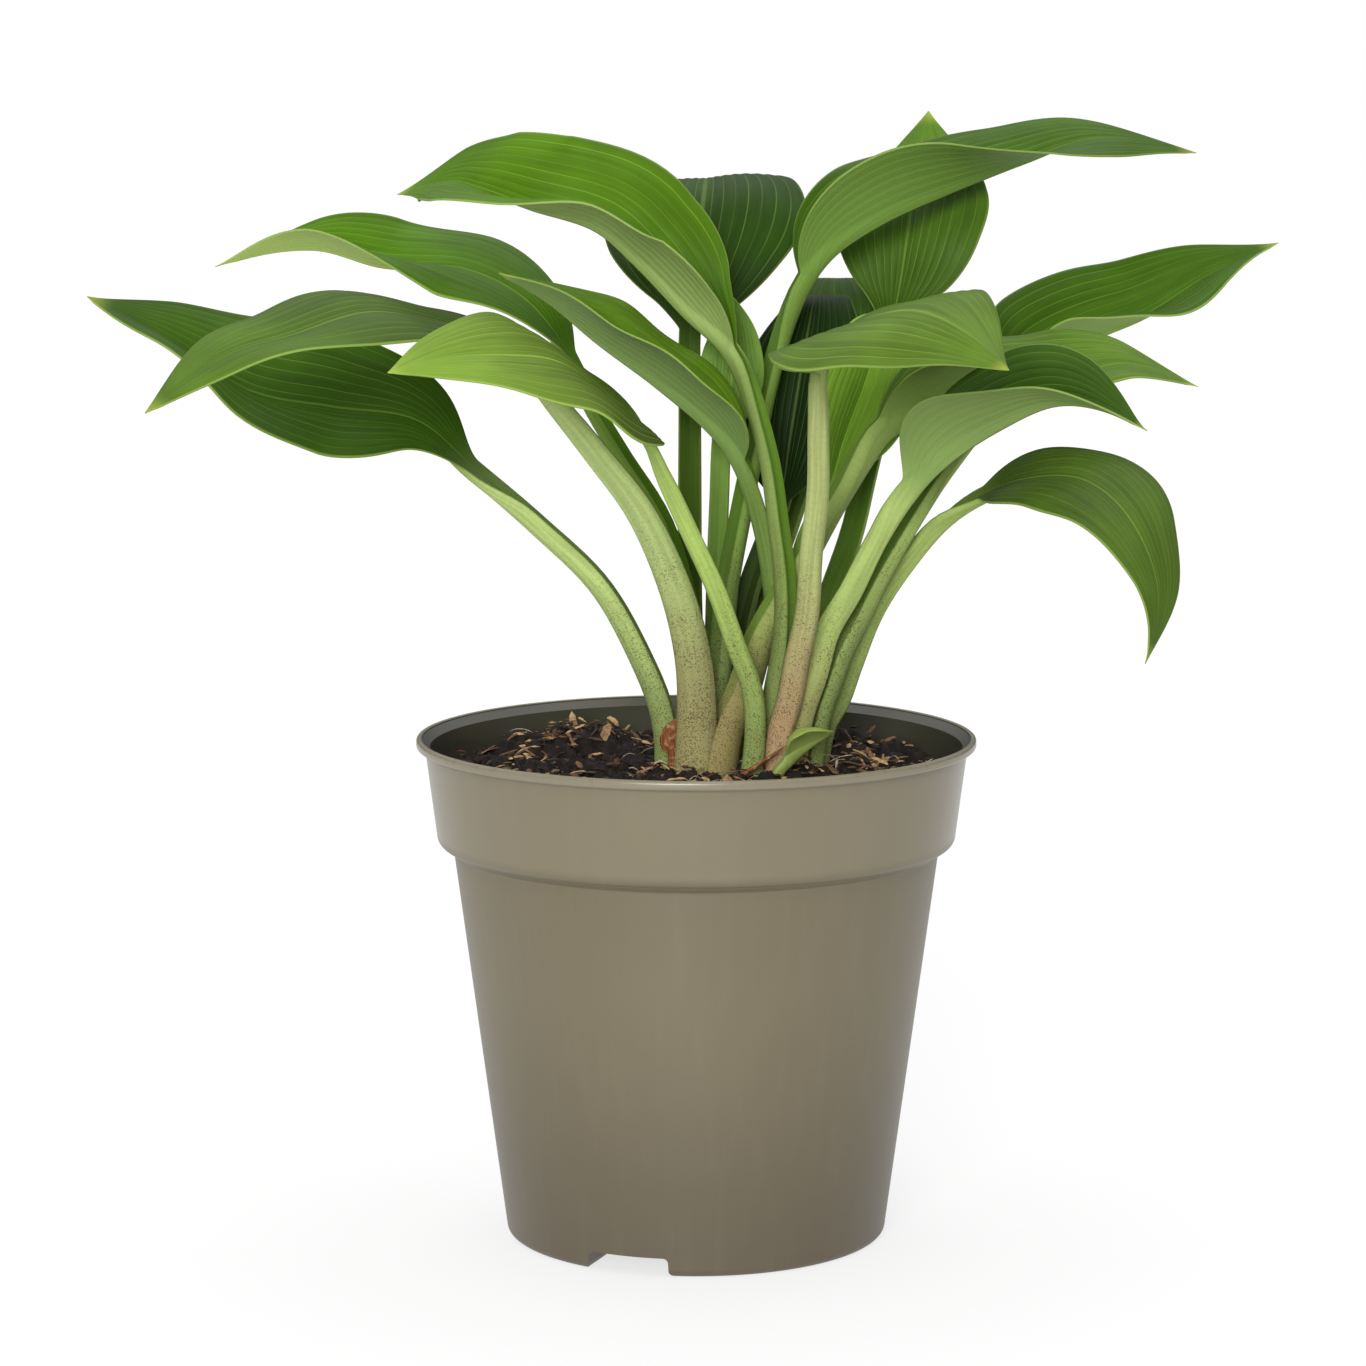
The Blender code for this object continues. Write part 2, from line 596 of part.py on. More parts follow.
clear_scene()
bodies = [make_pot(), make_soil(), make_crown()]
bodies += [make_leaf(name, plan) for name, plan in LEAVES.items()]
for body in bodies:
    paint(body, COLOURS.get(body.name, LEAF_COLOUR), 0.5 if body.name != "soil" else 0.9)
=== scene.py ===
# %% [markdown]
# # A hosta in a round nursery pot
#
# A hosta grows as a fountain of broad ribbed leaves. Each leaf rises on a stalk of its own,
# channelled along its upper side, from a short rootstock that lies just under the soil.
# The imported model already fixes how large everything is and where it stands. This script
# gives each piece its fine shape and its finish, one lesson at a time.

import bpy
import numpy as np
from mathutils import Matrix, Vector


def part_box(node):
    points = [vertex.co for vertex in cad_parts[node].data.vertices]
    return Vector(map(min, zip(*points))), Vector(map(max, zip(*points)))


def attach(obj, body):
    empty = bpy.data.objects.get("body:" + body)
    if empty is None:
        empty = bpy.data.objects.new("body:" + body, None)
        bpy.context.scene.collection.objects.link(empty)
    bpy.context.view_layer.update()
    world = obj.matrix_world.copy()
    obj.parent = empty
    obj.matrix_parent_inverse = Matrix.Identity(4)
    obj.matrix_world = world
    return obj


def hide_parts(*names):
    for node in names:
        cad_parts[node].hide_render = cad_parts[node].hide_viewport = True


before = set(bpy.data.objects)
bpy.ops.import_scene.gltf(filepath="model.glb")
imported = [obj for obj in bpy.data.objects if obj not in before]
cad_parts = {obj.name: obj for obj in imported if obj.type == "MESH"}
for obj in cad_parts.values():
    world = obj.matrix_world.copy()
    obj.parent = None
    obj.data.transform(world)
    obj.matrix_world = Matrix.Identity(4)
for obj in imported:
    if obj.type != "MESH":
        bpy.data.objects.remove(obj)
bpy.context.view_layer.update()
MM = 0.001                      # metres in a millimetre

# %% [markdown]
# ## Surfaces from arrays
#
# Every piece here is a surface worked out with numpy: a grid of points, rows by columns,
# joined by four-sided faces. Building whole arrays at once is much quicker than adding
# vertices one by one, and the formula stays readable. The columns wrap round, so a grid is
# a tube, and a cap or a pole at each end closes it.

# %% Grids of points and the faces between them
def grid_faces(rows, columns):
    """Four-sided faces of a tube: each joins two neighbours in one row to two in the next."""
    row = np.arange(rows - 1)[:, None] * columns
    here = np.arange(columns)
    after = (here + 1) % columns
    quads = [row + here, row + after, row + columns + after, row + columns + here]
    return np.stack(quads, axis=-1).reshape(-1, 4)


def fan_faces(pole, start, columns):
    """Triangles from one pole point to each pair of neighbours of a closed row."""
    here = start + np.arange(columns)
    after = start + (np.arange(columns) + 1) % columns
    return np.stack([np.full(columns, pole), here, after], axis=-1)


def facing_out(points, quads, *caps):
    """The faces of a tube and of its caps, all turned over if the tube looks inwards.

    It looks outwards when the volume between its faces and the origin comes out positive.
    """
    a, b, c, d = (points[quads[:, k]] for k in range(4))
    volume = (a * (np.cross(b, c) + np.cross(c, d))).sum()
    return [faces if volume >= 0.0 else faces[:, ::-1] for faces in (quads, *caps)]


print("a tube of 3 rings of 4 points has", len(grid_faces(3, 4)), "faces")

# %% Put arrays into a mesh
def add_piece(name, points, *face_arrays, **attributes):
    """An object at the origin from points in mm and arrays of faces, shaded smooth.

    Each further named array becomes an attribute of the points, which a finish can read.
    """
    faces = [face for array in face_arrays for face in np.asarray(array).tolist()]
    mesh = bpy.data.meshes.new(name)
    mesh.from_pydata((np.asarray(points) * MM).tolist(), [], faces)
    mesh.shade_smooth()
    for key, values in attributes.items():
        values = np.asarray(values, np.float32)
        vector = values.ndim == 2
        kind = "FLOAT_VECTOR" if vector else "FLOAT"
        layer = mesh.attributes.new(key, kind, "POINT")
        layer.data.foreach_set("vector" if vector else "value", values.ravel())
    piece = bpy.data.objects.new(name, mesh)
    bpy.context.scene.collection.objects.link(piece)
    return piece


def place(piece, slot, finish, *nodes):
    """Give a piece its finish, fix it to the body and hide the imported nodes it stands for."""
    piece.data.materials.clear()
    piece.data.materials.append(finish)
    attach(piece, "root")
    if nodes:
        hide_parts(*nodes)
    print(f"{piece.name}: {len(piece.data.polygons)} faces, finish {finish.name}")


print("pieces are made by add_piece and finished by place")

# %% [markdown]
# ## Finishes from nodes
#
# A finish is a node tree. Wiring it by hand hides the idea, so a small class wraps each
# socket: adding or multiplying two of them adds the Math node for it, and one method adds
# any other node. Colours are mixed in Mix nodes, since a Math node would turn them grey.

# %% Sums on sockets
class Value:
    """A socket that varies over a surface, on which sums are written as on a number."""

    def __init__(self, finish, socket):
        self.finish = finish
        self.socket = socket

    def math(self, operation, *others):
        return self.finish.node("ShaderNodeMath", {"operation": operation},
                                dict(enumerate((self, *others))))

    def __add__(self, other):
        return self.math("ADD", other)

    def __mul__(self, other):
        return self.math("MULTIPLY", other)

    def __sub__(self, other):
        return self.math("SUBTRACT", other)

    def __rsub__(self, other):
        return self.math("MULTIPLY_ADD", -1.0, other)

    def __pow__(self, other):
        return self.math("POWER", other)

    def __abs__(self):
        return self.math("ABSOLUTE")

    __radd__ = __add__
    __rmul__ = __mul__

    def rise(self, low, high):
        """Nothing below `low`, all above `high`, and a smooth step between them."""
        limits = {"Value": self, "From Min": low, "From Max": high}
        return self.finish.node("ShaderNodeMapRange", {"interpolation_type": "SMOOTHSTEP"}, limits)


print("sums are written on", Value.__name__)

# %% Nodes in a tree
class Nodes:
    """A node tree, with short ways to add nodes to it."""

    def __init__(self, tree):
        self.tree = tree

    def put(self, socket, value):
        """Link a value to a socket, or write a number or a colour into it."""
        if isinstance(value, Value):
            self.tree.links.new(value.socket, socket)
        elif isinstance(value, tuple) and socket.type == "RGBA":
            socket.default_value = (*value, 1.0)
        else:
            socket.default_value = value

    def node(self, kind, settings, values, output=0):
        """Add a node: its type, its settings, then the values or links of its sockets."""
        made = self.tree.nodes.new(kind)
        for key, setting in settings.items():
            setattr(made, key, setting)
        for key, value in values.items():
            self.put(made.inputs[key], value)
        return Value(self, made.outputs[output])

    def attribute(self, name, output=2):
        """An attribute of the piece's points: output 2 is a number, output 1 a vector."""
        return self.node("ShaderNodeAttribute", {"attribute_name": name}, {}, output)

    def place(self):
        """Where a point lies, in metres, in the frame of the object."""
        return self.node("ShaderNodeTexCoord", {}, {}, 3)

    def parts(self, vector):
        """The three numbers of a vector."""
        split = self.node("ShaderNodeSeparateXYZ", {}, {0: vector})
        return [Value(self, out) for out in split.socket.node.outputs]

    def vector(self, x, y, z):
        """A vector from three numbers."""
        return self.node("ShaderNodeCombineXYZ", {}, {0: x, 1: y, 2: z})

    def noise(self, vector, scale, detail=2.0, roughness=0.5):
        """Soft cloudy variation around a half."""
        values = {"Vector": vector, "Scale": scale, "Detail": detail, "Roughness": roughness}
        return self.node("ShaderNodeTexNoise", {}, values)

    def cells(self, vector, scale):
        """Distance to the nearest of many scattered spots."""
        return self.node("ShaderNodeTexVoronoi", {}, {"Vector": vector, "Scale": scale})

    def mix(self, share, first, second):
        """A colour that goes from the first to the second as the share goes from 0 to 1."""
        return self.node("ShaderNodeMix", {"data_type": "RGBA"}, {0: share, 6: first, 7: second}, 2)

    def layers(self, colour, *layers):
        """A colour under thin layers of others, each given as its share and its colour."""
        for share, over in layers:
            colour = self.mix(share, colour, over)
        return colour


print("a node tree is filled through", Nodes.__name__)

# %% A finish under construction
class Finish(Nodes):
    """A material and its shader; constants go straight to the shader's own sockets."""

    def __init__(self, name, **constants):
        self.material = bpy.data.materials.new(name)
        self.material.use_nodes = True
        super().__init__(self.material.node_tree)
        self.shader = self.tree.nodes["Principled BSDF"]
        for socket, value in constants.items():
            self.shader.inputs[socket.replace("_", " ")].default_value = value

    def bump(self, height, distance, strength=1.0):
        """Tilt the shading as if the surface rose by `height` times `distance` metres."""
        values = {"Height": height, "Distance": distance, "Strength": strength}
        self.put(self.shader.inputs["Normal"], self.node("ShaderNodeBump", {}, values))

    def coat(self, colour, roughness):
        """Set what varies over the surface and give back the material."""
        self.put(self.shader.inputs["Base Color"], colour)
        self.put(self.shader.inputs["Roughness"], roughness)
        return self.material


def tint(red, green, blue):
    """A colour given as 0-255 screen values, as the linear numbers that a shader takes."""
    share = np.array([red, green, blue]) / 255.0
    linear = np.where(share > 0.04045, ((share + 0.055) / 1.055) ** 2.4, share / 12.92)
    return tuple(float(v) for v in linear)


print("mid grey, 128, is", round(tint(128, 128, 128)[0], 3), "in linear light")

# %% [markdown]
# ## The pot: a profile turned about an axis
#
# The real pot is one thin injection-moulded wall. A lathe shape says that best: list the
# radius and height of each point of its cut edge, from the inside of the floor up over the
# rolled lip and down to the foot, and turn it about Z. Short arcs round the corners, and
# fine segments keep the rim's outline smooth.

# %% The pot's driving sizes, in mm
pot_high = np.array(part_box("pot")[1]) / MM
POT_HEIGHT = float(pot_high[2])
LIP_RADIUS = float(pot_high[0])
LIP_INNER = 83.2
LIP_DROP = 2.8                  # height of the lip
BAND_TOP_RADIUS = 82.2          # the wide band under the lip
BAND_FOOT_RADIUS = 78.9
BAND_FOOT = 124.0               # height at which the band starts to turn in
BODY_TOP_RADIUS = 73.6
BODY_TOP = 117.9                # height of the top of the tapered body
FOOT_RADIUS = 58.2
CORNER = 2.4                    # rounded corner between wall and foot
WALL = 1.4
FLOOR_TOP = 2.4
HOLLOW_RADIUS = 43.0            # the underside is hollow inside this radius
HOLLOW_HEIGHT = 1.0
print(f"the pot is {POT_HEIGHT:.1f} mm high and {2 * LIP_RADIUS:.1f} mm across its lip")

# %% The profile of the wall
def arc(centre, radius, start, end, steps=7):
    """Points on part of a circle, from one angle to another in degrees."""
    angle = np.radians(np.linspace(start, end, steps))
    return centre + radius * np.stack([np.cos(angle), np.sin(angle)], axis=1)


def line(first, last, steps):
    """Evenly spaced points from one to another, both ends included."""
    return np.linspace(first, last, steps)


LIP_FOOT = POT_HEIGHT - LIP_DROP
STEP_TOP = BODY_TOP + 2.6       # height of the inside of the step between body and band
inside = [
    line((HOLLOW_RADIUS, FLOOR_TOP), (FOOT_RADIUS - WALL - 1.5, FLOOR_TOP), 2),
    arc((FOOT_RADIUS - WALL - 1.5, FLOOR_TOP + 1.5), 1.5, -90, 0),
    line((FOOT_RADIUS - WALL, FLOOR_TOP + 2.0), (BODY_TOP_RADIUS - WALL, BODY_TOP), 12),
    line((BAND_FOOT_RADIUS - 2.0 * WALL, STEP_TOP), (BAND_FOOT_RADIUS - WALL, BAND_FOOT), 3),
    line((BAND_TOP_RADIUS - WALL, LIP_FOOT), (LIP_INNER, POT_HEIGHT - 0.6), 3),
]
lip = [
    arc((LIP_INNER + 0.5, POT_HEIGHT - 0.5), 0.5, 180, 90),
    arc((LIP_RADIUS - 1.0, POT_HEIGHT - 1.0), 1.0, 90, 0),
    arc((LIP_RADIUS - 0.8, LIP_FOOT + 0.8), 0.8, 0, -90),
    arc((BAND_TOP_RADIUS + 0.9, LIP_FOOT - 0.9), 0.9, 90, 180),
]
wall = [
    line((BAND_TOP_RADIUS, LIP_FOOT - 1.4), (BAND_FOOT_RADIUS, BAND_FOOT), 10),
    arc((BAND_FOOT_RADIUS - 3.4, BAND_FOOT), 3.4, -6, -84, 10),
    arc((BODY_TOP_RADIUS + 1.3, BODY_TOP + 0.4), 1.3, 100, 180, 6),
    line((BODY_TOP_RADIUS - 0.06, BODY_TOP - 1.0), (FOOT_RADIUS, CORNER), 24),
    arc((FOOT_RADIUS - CORNER, CORNER), CORNER, -5, -90),
    line((HOLLOW_RADIUS + 1.0, 0.0), (HOLLOW_RADIUS, HOLLOW_HEIGHT), 2),
]
POT_PROFILE = np.vstack(inside + lip + wall)
print("the pot's cut edge has", len(POT_PROFILE), "points")

# %% Turn a profile
def turned(name, profile, segments, centre=(0.0, 0.0), shift=None):
    """Radius and height of each profile point, turned about an upright axis.

    x = centre + radius cos(angle) and y = centre + radius sin(angle). The first and the
    last point are closed by a pole on the axis at their own height. `shift` may move the
    points of the grid before it becomes a mesh.
    """
    angle = np.arange(segments) * 2.0 * np.pi / segments
    x = centre[0] + profile[:, 0, None] * np.cos(angle)
    y = centre[1] + profile[:, 0, None] * np.sin(angle)
    grid = np.stack([x, y, np.repeat(profile[:, 1, None], segments, axis=1)], axis=-1)
    if shift is not None:
        shift(grid)
    points = np.vstack([grid.reshape(-1, 3), grid[0].mean(axis=0), grid[-1].mean(axis=0)])
    count = len(profile) * segments
    first = fan_faces(count, 0, segments)[:, ::-1]
    last = fan_faces(count + 1, count - segments, segments)
    faces = facing_out(points, grid_faces(len(profile), segments), first, last)
    return add_piece(name, points, *faces)


pot = turned("pot_shell", POT_PROFILE, 256)
print("the turned pot has", len(pot.data.polygons), "faces")

# %% [markdown]
# ## Drain pockets
#
# Water leaves the real pot through pockets folded up into its floor at the edge of the
# foot. A Boolean modifier is the natural tool: first join a thin roof over each pocket,
# then take the pocket itself away. The cutter's outline has rounded upper corners and
# flares out at the floor, as moulded plastic does.

# %% The pockets' sizes and their cutter
POCKET_ANGLES = (-110.7, 9.3, 129.3)
POCKET_HALF = 12.7              # half the width of a pocket
POCKET_HEIGHT = 5.8
POCKET_INNER = 38.0             # distance of the pocket's inner end from the axis
POCKET_REACH = 70.0             # the cutter runs out beyond the wall
ROOF_FOOT = 1.4                 # a pocket's roof starts inside the floor
DRAIN_RADIUS = 4.5
DRAIN_DISTANCE = 46.0           # distance of the drain hole from the axis


def prism(name, outline, angle, near, far):
    """An outline of (side, height) points carried straight out along a radius."""
    out = np.array([np.cos(np.radians(angle)), np.sin(np.radians(angle)), 0.0])
    side = np.array([-out[1], out[0], 0.0])
    section = outline[:, :1] * side + outline[:, 1:] * np.array([0.0, 0.0, 1.0])
    points = np.vstack([section + out * near, section + out * far])
    count = len(outline)
    ends = np.arange(count)[None, ::-1], np.arange(count)[None] + count
    return add_piece(name, points, *facing_out(points, grid_faces(2, count), *ends))


def pocket_outline(half, height, corner, flare):
    """Half an outline, mirrored: flared at the floor, upright, rounded at the top."""
    foot = arc((half + flare, flare), flare, -90, -180, 6)
    top = arc((half - corner, height - corner), corner, 0, 90, 6)
    right = np.vstack([[(half + flare, -5.0)], foot, top])
    return np.vstack([right, right[::-1] * (-1, 1)])


POCKET = pocket_outline(POCKET_HALF, POCKET_HEIGHT, corner=1.5, flare=1.8)
print("a pocket's outline has", len(POCKET), "points")

# %% Fold in the pockets
def carve(piece, cutter, operation):
    """Cut a shape out of a piece, join it on or keep what it covers; the cutter goes."""
    modifier = piece.modifiers.new("carve", "BOOLEAN")
    modifier.operation = operation
    modifier.solver = "EXACT"
    modifier.object = cutter
    evaluated = piece.evaluated_get(bpy.context.evaluated_depsgraph_get())
    piece.data = bpy.data.meshes.new_from_object(evaluated)
    piece.modifiers.clear()
    bpy.data.objects.remove(cutter, do_unlink=True)


roof_half, roof_top = POCKET_HALF + WALL, POCKET_HEIGHT + WALL
roof = np.array([(-roof_half, ROOF_FOOT), (roof_half, ROOF_FOOT), (roof_half, roof_top),
                 (-roof_half, roof_top)])
within = line((FOOT_RADIUS - 0.5 * WALL, 20.0), (FOOT_RADIUS - 0.5 * WALL, -5.0), 2)
hole = line((DRAIN_RADIUS, POCKET_HEIGHT - 2.0), (DRAIN_RADIUS, POCKET_HEIGHT + 5.0), 2)
for angle in POCKET_ANGLES:
    lid = prism("roof", roof, angle, POCKET_INNER - WALL, FOOT_RADIUS)
    carve(lid, turned("within", within, 256), "INTERSECT")      # ends inside the pot's wall
    carve(pot, lid, "UNION")
for angle in POCKET_ANGLES:
    carve(pot, prism("pocket", POCKET, angle, POCKET_INNER, POCKET_REACH), "DIFFERENCE")
    aside = np.radians(angle)
    centre = (DRAIN_DISTANCE * np.cos(aside), DRAIN_DISTANCE * np.sin(aside))
    carve(pot, turned("hole", hole, 32, centre), "DIFFERENCE")
pot.data.shade_smooth()
pot.data.set_sharp_from_angle(angle=np.radians(32.0))
print("the pot with its", len(POCKET_ANGLES), "pockets has", len(pot.data.polygons), "faces")

# %% [markdown]
# ## Moulded plastic
#
# The pot is satin taupe outside. Inside it is painted dark, partly soil grime and partly
# painted shade. Pure noise would look like stone, so the variation is kept very faint: a
# cloudy change of tone, upright flow marks left by the mould, fine grain in the bump, and a
# little dust from the soil on the lip. The band and the lip are painted paler as a painted
# highlight, and the body is painted darker towards the floor as painted shade.

# %% The pot's finish
def pot_finish():
    """Taupe outside; dark with grime and painted shade inside the middle of the band's wall."""
    finish = Finish("moulded_taupe_plastic", Specular_IOR_Level=0.65)
    here = finish.place()
    x, y, z = finish.parts(here)
    radius = (x * x + y * y) ** 0.5
    slope = (BAND_TOP_RADIUS - BAND_FOOT_RADIUS) / (LIP_FOOT - BAND_FOOT)
    middle = (z - BAND_FOOT * MM) * slope + (BAND_FOOT_RADIUS - 0.5 * WALL) * MM
    middle = middle + z.rise((LIP_FOOT - 0.3) * MM, (LIP_FOOT + 0.5) * MM) * (1.9 * MM)
    between_edges = (z.rise((BAND_FOOT + 4.0) * MM, (BAND_FOOT + 6.0) * MM)
                     * z.rise((POT_HEIGHT - 0.1) * MM, (POT_HEIGHT - 0.4) * MM))
    inner = (radius - middle).rise(0.0003, -0.0002) * between_edges
    band = z.rise((BAND_FOOT - 2.5) * MM, (BAND_FOOT + 1.0) * MM)
    clouds = finish.noise(here, 22.0, 3.0)
    streaks = finish.noise(finish.vector(x * 200.0, y * 200.0, z * 2.5), 1.0, 3.0)
    on_lip = z.rise((LIP_FOOT - 0.7) * MM, POT_HEIGHT * MM)
    dust = finish.noise(here, 420.0, 2.0).rise(0.6, 0.7) * on_lip
    outside = finish.layers(
        finish.mix(clouds, tint(93, 85, 62), tint(101, 92, 69)),
        # painted shade: the body darkened towards the floor, where the floor's shade falls on it
        (z.rise(90.0 * MM, 0.0) * 0.7, tint(66, 57, 40)),
        # painted highlight: the band made paler, as it catches more light than the body below
        (band * 0.2, tint(142, 134, 112)),
        # painted highlight: the top of the lip made paler where it catches the light
        (z.rise((LIP_FOOT - 0.5) * MM, (LIP_FOOT + 0.1) * MM) * 0.12, tint(158, 154, 140)),
        (streaks.rise(0.45, 0.8) * 0.04, tint(146, 139, 118)),
        (dust * 0.3, tint(70, 60, 46)),
    )
    # the inside painted dark: partly soil grime, partly painted shade
    inside_grime_and_painted_shade = finish.mix(clouds, tint(50, 49, 38), tint(66, 64, 51))
    finish.bump(finish.noise(here, 2600.0, 2.0) + clouds * 2.0, 0.00003, 0.35)
    return finish.coat(finish.mix(inner, outside, inside_grime_and_painted_shade), clouds * 0.08 + 0.4 - band * 0.14)


place(pot, "pot_plastic", pot_finish(), "pot")

# %% [markdown]
# ## Soil
#
# Potting soil is crumbs of every size. A smooth noise would give dunes, so the surface is
# built from round crumbs instead: the plane is cut into square cells, each cell holds one
# ball at a place of its own, and the highest ball wins. Three sizes of crumb on top of a
# low mound around the plant and two heaps behind it make the bed.

# %% Crumbs
def scatter(column, row, seed):
    """Two repeatable numbers in 0..1 for each cell: the fraction of a large sine."""
    first = np.sin(column * 127.1 + row * 311.7 + seed * 74.7) * 43758.5453
    second = np.sin(column * 269.5 + row * 183.3 + seed * 246.1) * 43758.5453
    return first - np.floor(first), second - np.floor(second)


def crumbs(x, y, size, seed):
    """Height of a bed of balls, one in each square cell, the highest of nine winning."""
    column, row = np.floor(x / size), np.floor(y / size)
    height = np.zeros_like(x)
    for right in (-1, 0, 1):
        for up in (-1, 0, 1):
            a, b = scatter(column + right, row + up, seed)
            radius = size * (0.3 + 0.45 * a * b)
            away = np.hypot(x - (column + right + a) * size, y - (row + up + b) * size)
            height = np.maximum(height, np.sqrt(np.clip(radius**2 - away**2, 0.0, None)))
    return height


print("four places in a bed of 8 mm crumbs:", crumbs(np.arange(4.0), np.zeros(4), 8.0, 1).round(1))

# %% The height of the soil
SOIL_EDGE = 142.6               # height of the soil against the wall
BED_DROP = 3.0                  # how far below that the bed of crumbs starts
SOIL_RADIUS = 79.5              # where the mounds and lumps have faded out
CROWN_CENTRE = (13.0, 2.0)
HEAPS = (                       # height, middle and radius of each mound
    (2.2, *CROWN_CENTRE, 42.0),
    (5.0, -38.0, 44.0, 24.0),
    (3.5, 44.0, 44.0, 20.0),
)


def soil_height(x, y):
    """Round mounds, broad lumps and three sizes of crumb, fading out at the wall."""
    heap = sum(high * np.exp(-((np.hypot(x - right, y - back) / radius) ** 2))
               for high, right, back, radius in HEAPS)
    lumps = np.sin(0.31 * x + 1.0) * np.cos(0.27 * y) + np.sin(0.13 * x - 0.22 * y)
    bed = 0.9 * crumbs(x, y, 8.0, 1) + 0.9 * crumbs(x, y, 3.6, 2) + 0.8 * crumbs(x, y, 1.7, 3)
    free = np.clip((SOIL_RADIUS - np.hypot(x, y)) / 6.0, 0.0, 1.0)
    return SOIL_EDGE - BED_DROP + free * (heap + 0.5 * lumps) + bed * (0.5 + 0.5 * free)


print("the soil's height in mm at the crown:", soil_height(*np.array([CROWN_CENTRE]).T).round(1))

# %% The plug of soil
def make_soil():
    """A turned plug that fills the pot, its top raised and lowered by the bed of crumbs."""
    gap = 0.35                  # clearance to the wall of the pot
    wall_top = BAND_TOP_RADIUS - WALL - (LIP_FOOT - SOIL_EDGE) / (LIP_FOOT - BAND_FOOT) * (
        BAND_TOP_RADIUS - BAND_FOOT_RADIUS) - gap
    top = line((0.4, SOIL_EDGE), (wall_top - 0.8, SOIL_EDGE), 120)
    side = np.array([
        (wall_top, SOIL_EDGE - 1.6),
        (BAND_FOOT_RADIUS - WALL - gap, BAND_FOOT),
        (BAND_FOOT_RADIUS - 2.0 * WALL - gap, STEP_TOP + gap),
        (BODY_TOP_RADIUS - WALL - gap, BODY_TOP),
        (FOOT_RADIUS - WALL - gap, POCKET_HEIGHT + WALL + 1.0),
        (POCKET_INNER, POCKET_HEIGHT + WALL + 0.6),
    ])

    def shift(grid):
        rows = grid[:len(top)]
        rows[..., 2] = soil_height(rows[..., 0], rows[..., 1])

    return turned("soil_plug", np.vstack([top, side]), 420, shift=shift)


def soil_finish():
    """Almost black peat with browner and greyer crumbs, dull all over."""
    finish = Finish("moist_potting_soil", Specular_IOR_Level=0.3)
    here = finish.place()
    clouds = finish.noise(here, 160.0, 4.0, 0.65)
    fine = finish.noise(here, 900.0, 3.0, 0.7)
    colour = finish.layers(
        finish.mix(clouds.rise(0.4, 0.7), tint(15, 11, 10), tint(40, 27, 21)),
        (fine.rise(0.6, 0.78) * 0.6, tint(104, 76, 54)),
        (finish.cells(here, 520.0).rise(0.1, 0.02) * 0.35, tint(120, 98, 78)),
    )
    finish.bump(clouds + fine * 0.6, 0.0012, 0.9)
    return finish.coat(colour, 0.75 + clouds * 0.15)


place(make_soil(), "potting_soil", soil_finish(), "soil")

# %% [markdown]
# ## Bark, straws and fibres
#
# Flakes of composted bark, straws and pale root hairs lie on the soil. Hundreds of
# separate objects would be slow to handle, so all flakes of a kind are worked out in one
# array and share one mesh: a flake is a bent spindle of two dozen faces whose width jumps
# from ring to ring, and every point carries the shade of its flake for the finish to read.

# %% Many spindles at once
FLAKE_SIDES = 4                 # points in each ring of a flake


def add_spindles(name, shade, centre, direction, length, width, thickness, bend, jumps):
    """Many bent spindles in one mesh: one for each row of the arrays, a ring for each jump.

    At t from -1 to 1 along a spindle the section is an ellipse whose size follows
    (1 - t^6)^0.5 times one plus the jump, and the middle is lifted by bend (1 - t^2).
    """
    count, rows = jumps.shape
    across = np.cross(direction, (0.0, 0.0, 1.0))
    across /= np.linalg.norm(across, axis=1, keepdims=True)
    up = np.cross(across, direction)
    centre, direction, across, up = (v[:, None] for v in (centre, direction, across, up))
    length, width, thickness, bend = (v[:, None, None] for v in (length, width, thickness, bend))
    t = np.linspace(-1.0, 1.0, rows + 2)[1:-1, None]
    turn = np.arange(FLAKE_SIDES)[:, None] * 2.0 * np.pi / FLAKE_SIDES
    size = np.sqrt(1.0 - t**6) * (1.0 + jumps[..., None])
    middle = centre + direction * (t * 0.5 * length) + up * (bend * (1.0 - t**2))
    section = across * np.cos(turn) * width + up * np.sin(turn) * thickness
    grid = middle[:, :, None] + size[..., None] * 0.5 * section[:, None]
    half = direction * 0.5 * length
    points = np.concatenate([grid.reshape(count, -1, 3), centre - half, centre + half], axis=1)

    pole = rows * FLAKE_SIDES
    first = fan_faces(pole, 0, FLAKE_SIDES)[:, ::-1]
    last = fan_faces(pole + 1, pole - FLAKE_SIDES, FLAKE_SIDES)
    one = facing_out(points[0], grid_faces(rows, FLAKE_SIDES), first, last)
    step = np.arange(count)[:, None, None] * (pole + 2)
    faces = [(array + step).reshape(-1, array.shape[1]) for array in one]
    piece = add_piece(name, points.reshape(-1, 3), *faces, shade=np.repeat(shade, pole + 2))
    piece.data.shade_flat()
    return piece


print("a flake of 5 rings has", 6 * FLAKE_SIDES, "faces")

# %% Strew them over the soil
HEAP_REACH = 72.0               # the middles of the heaps lie within this radius
DEBRIS_REACH = 79.0             # and no flake reaches beyond this one
random = np.random.default_rng(7)


def ways(heading, climb):
    """Unit vectors at headings around Z, climbing above the level; both in radians."""
    flat = np.cos(climb)
    return np.stack([np.cos(heading) * flat, np.sin(heading) * flat, np.sin(climb)], axis=1)


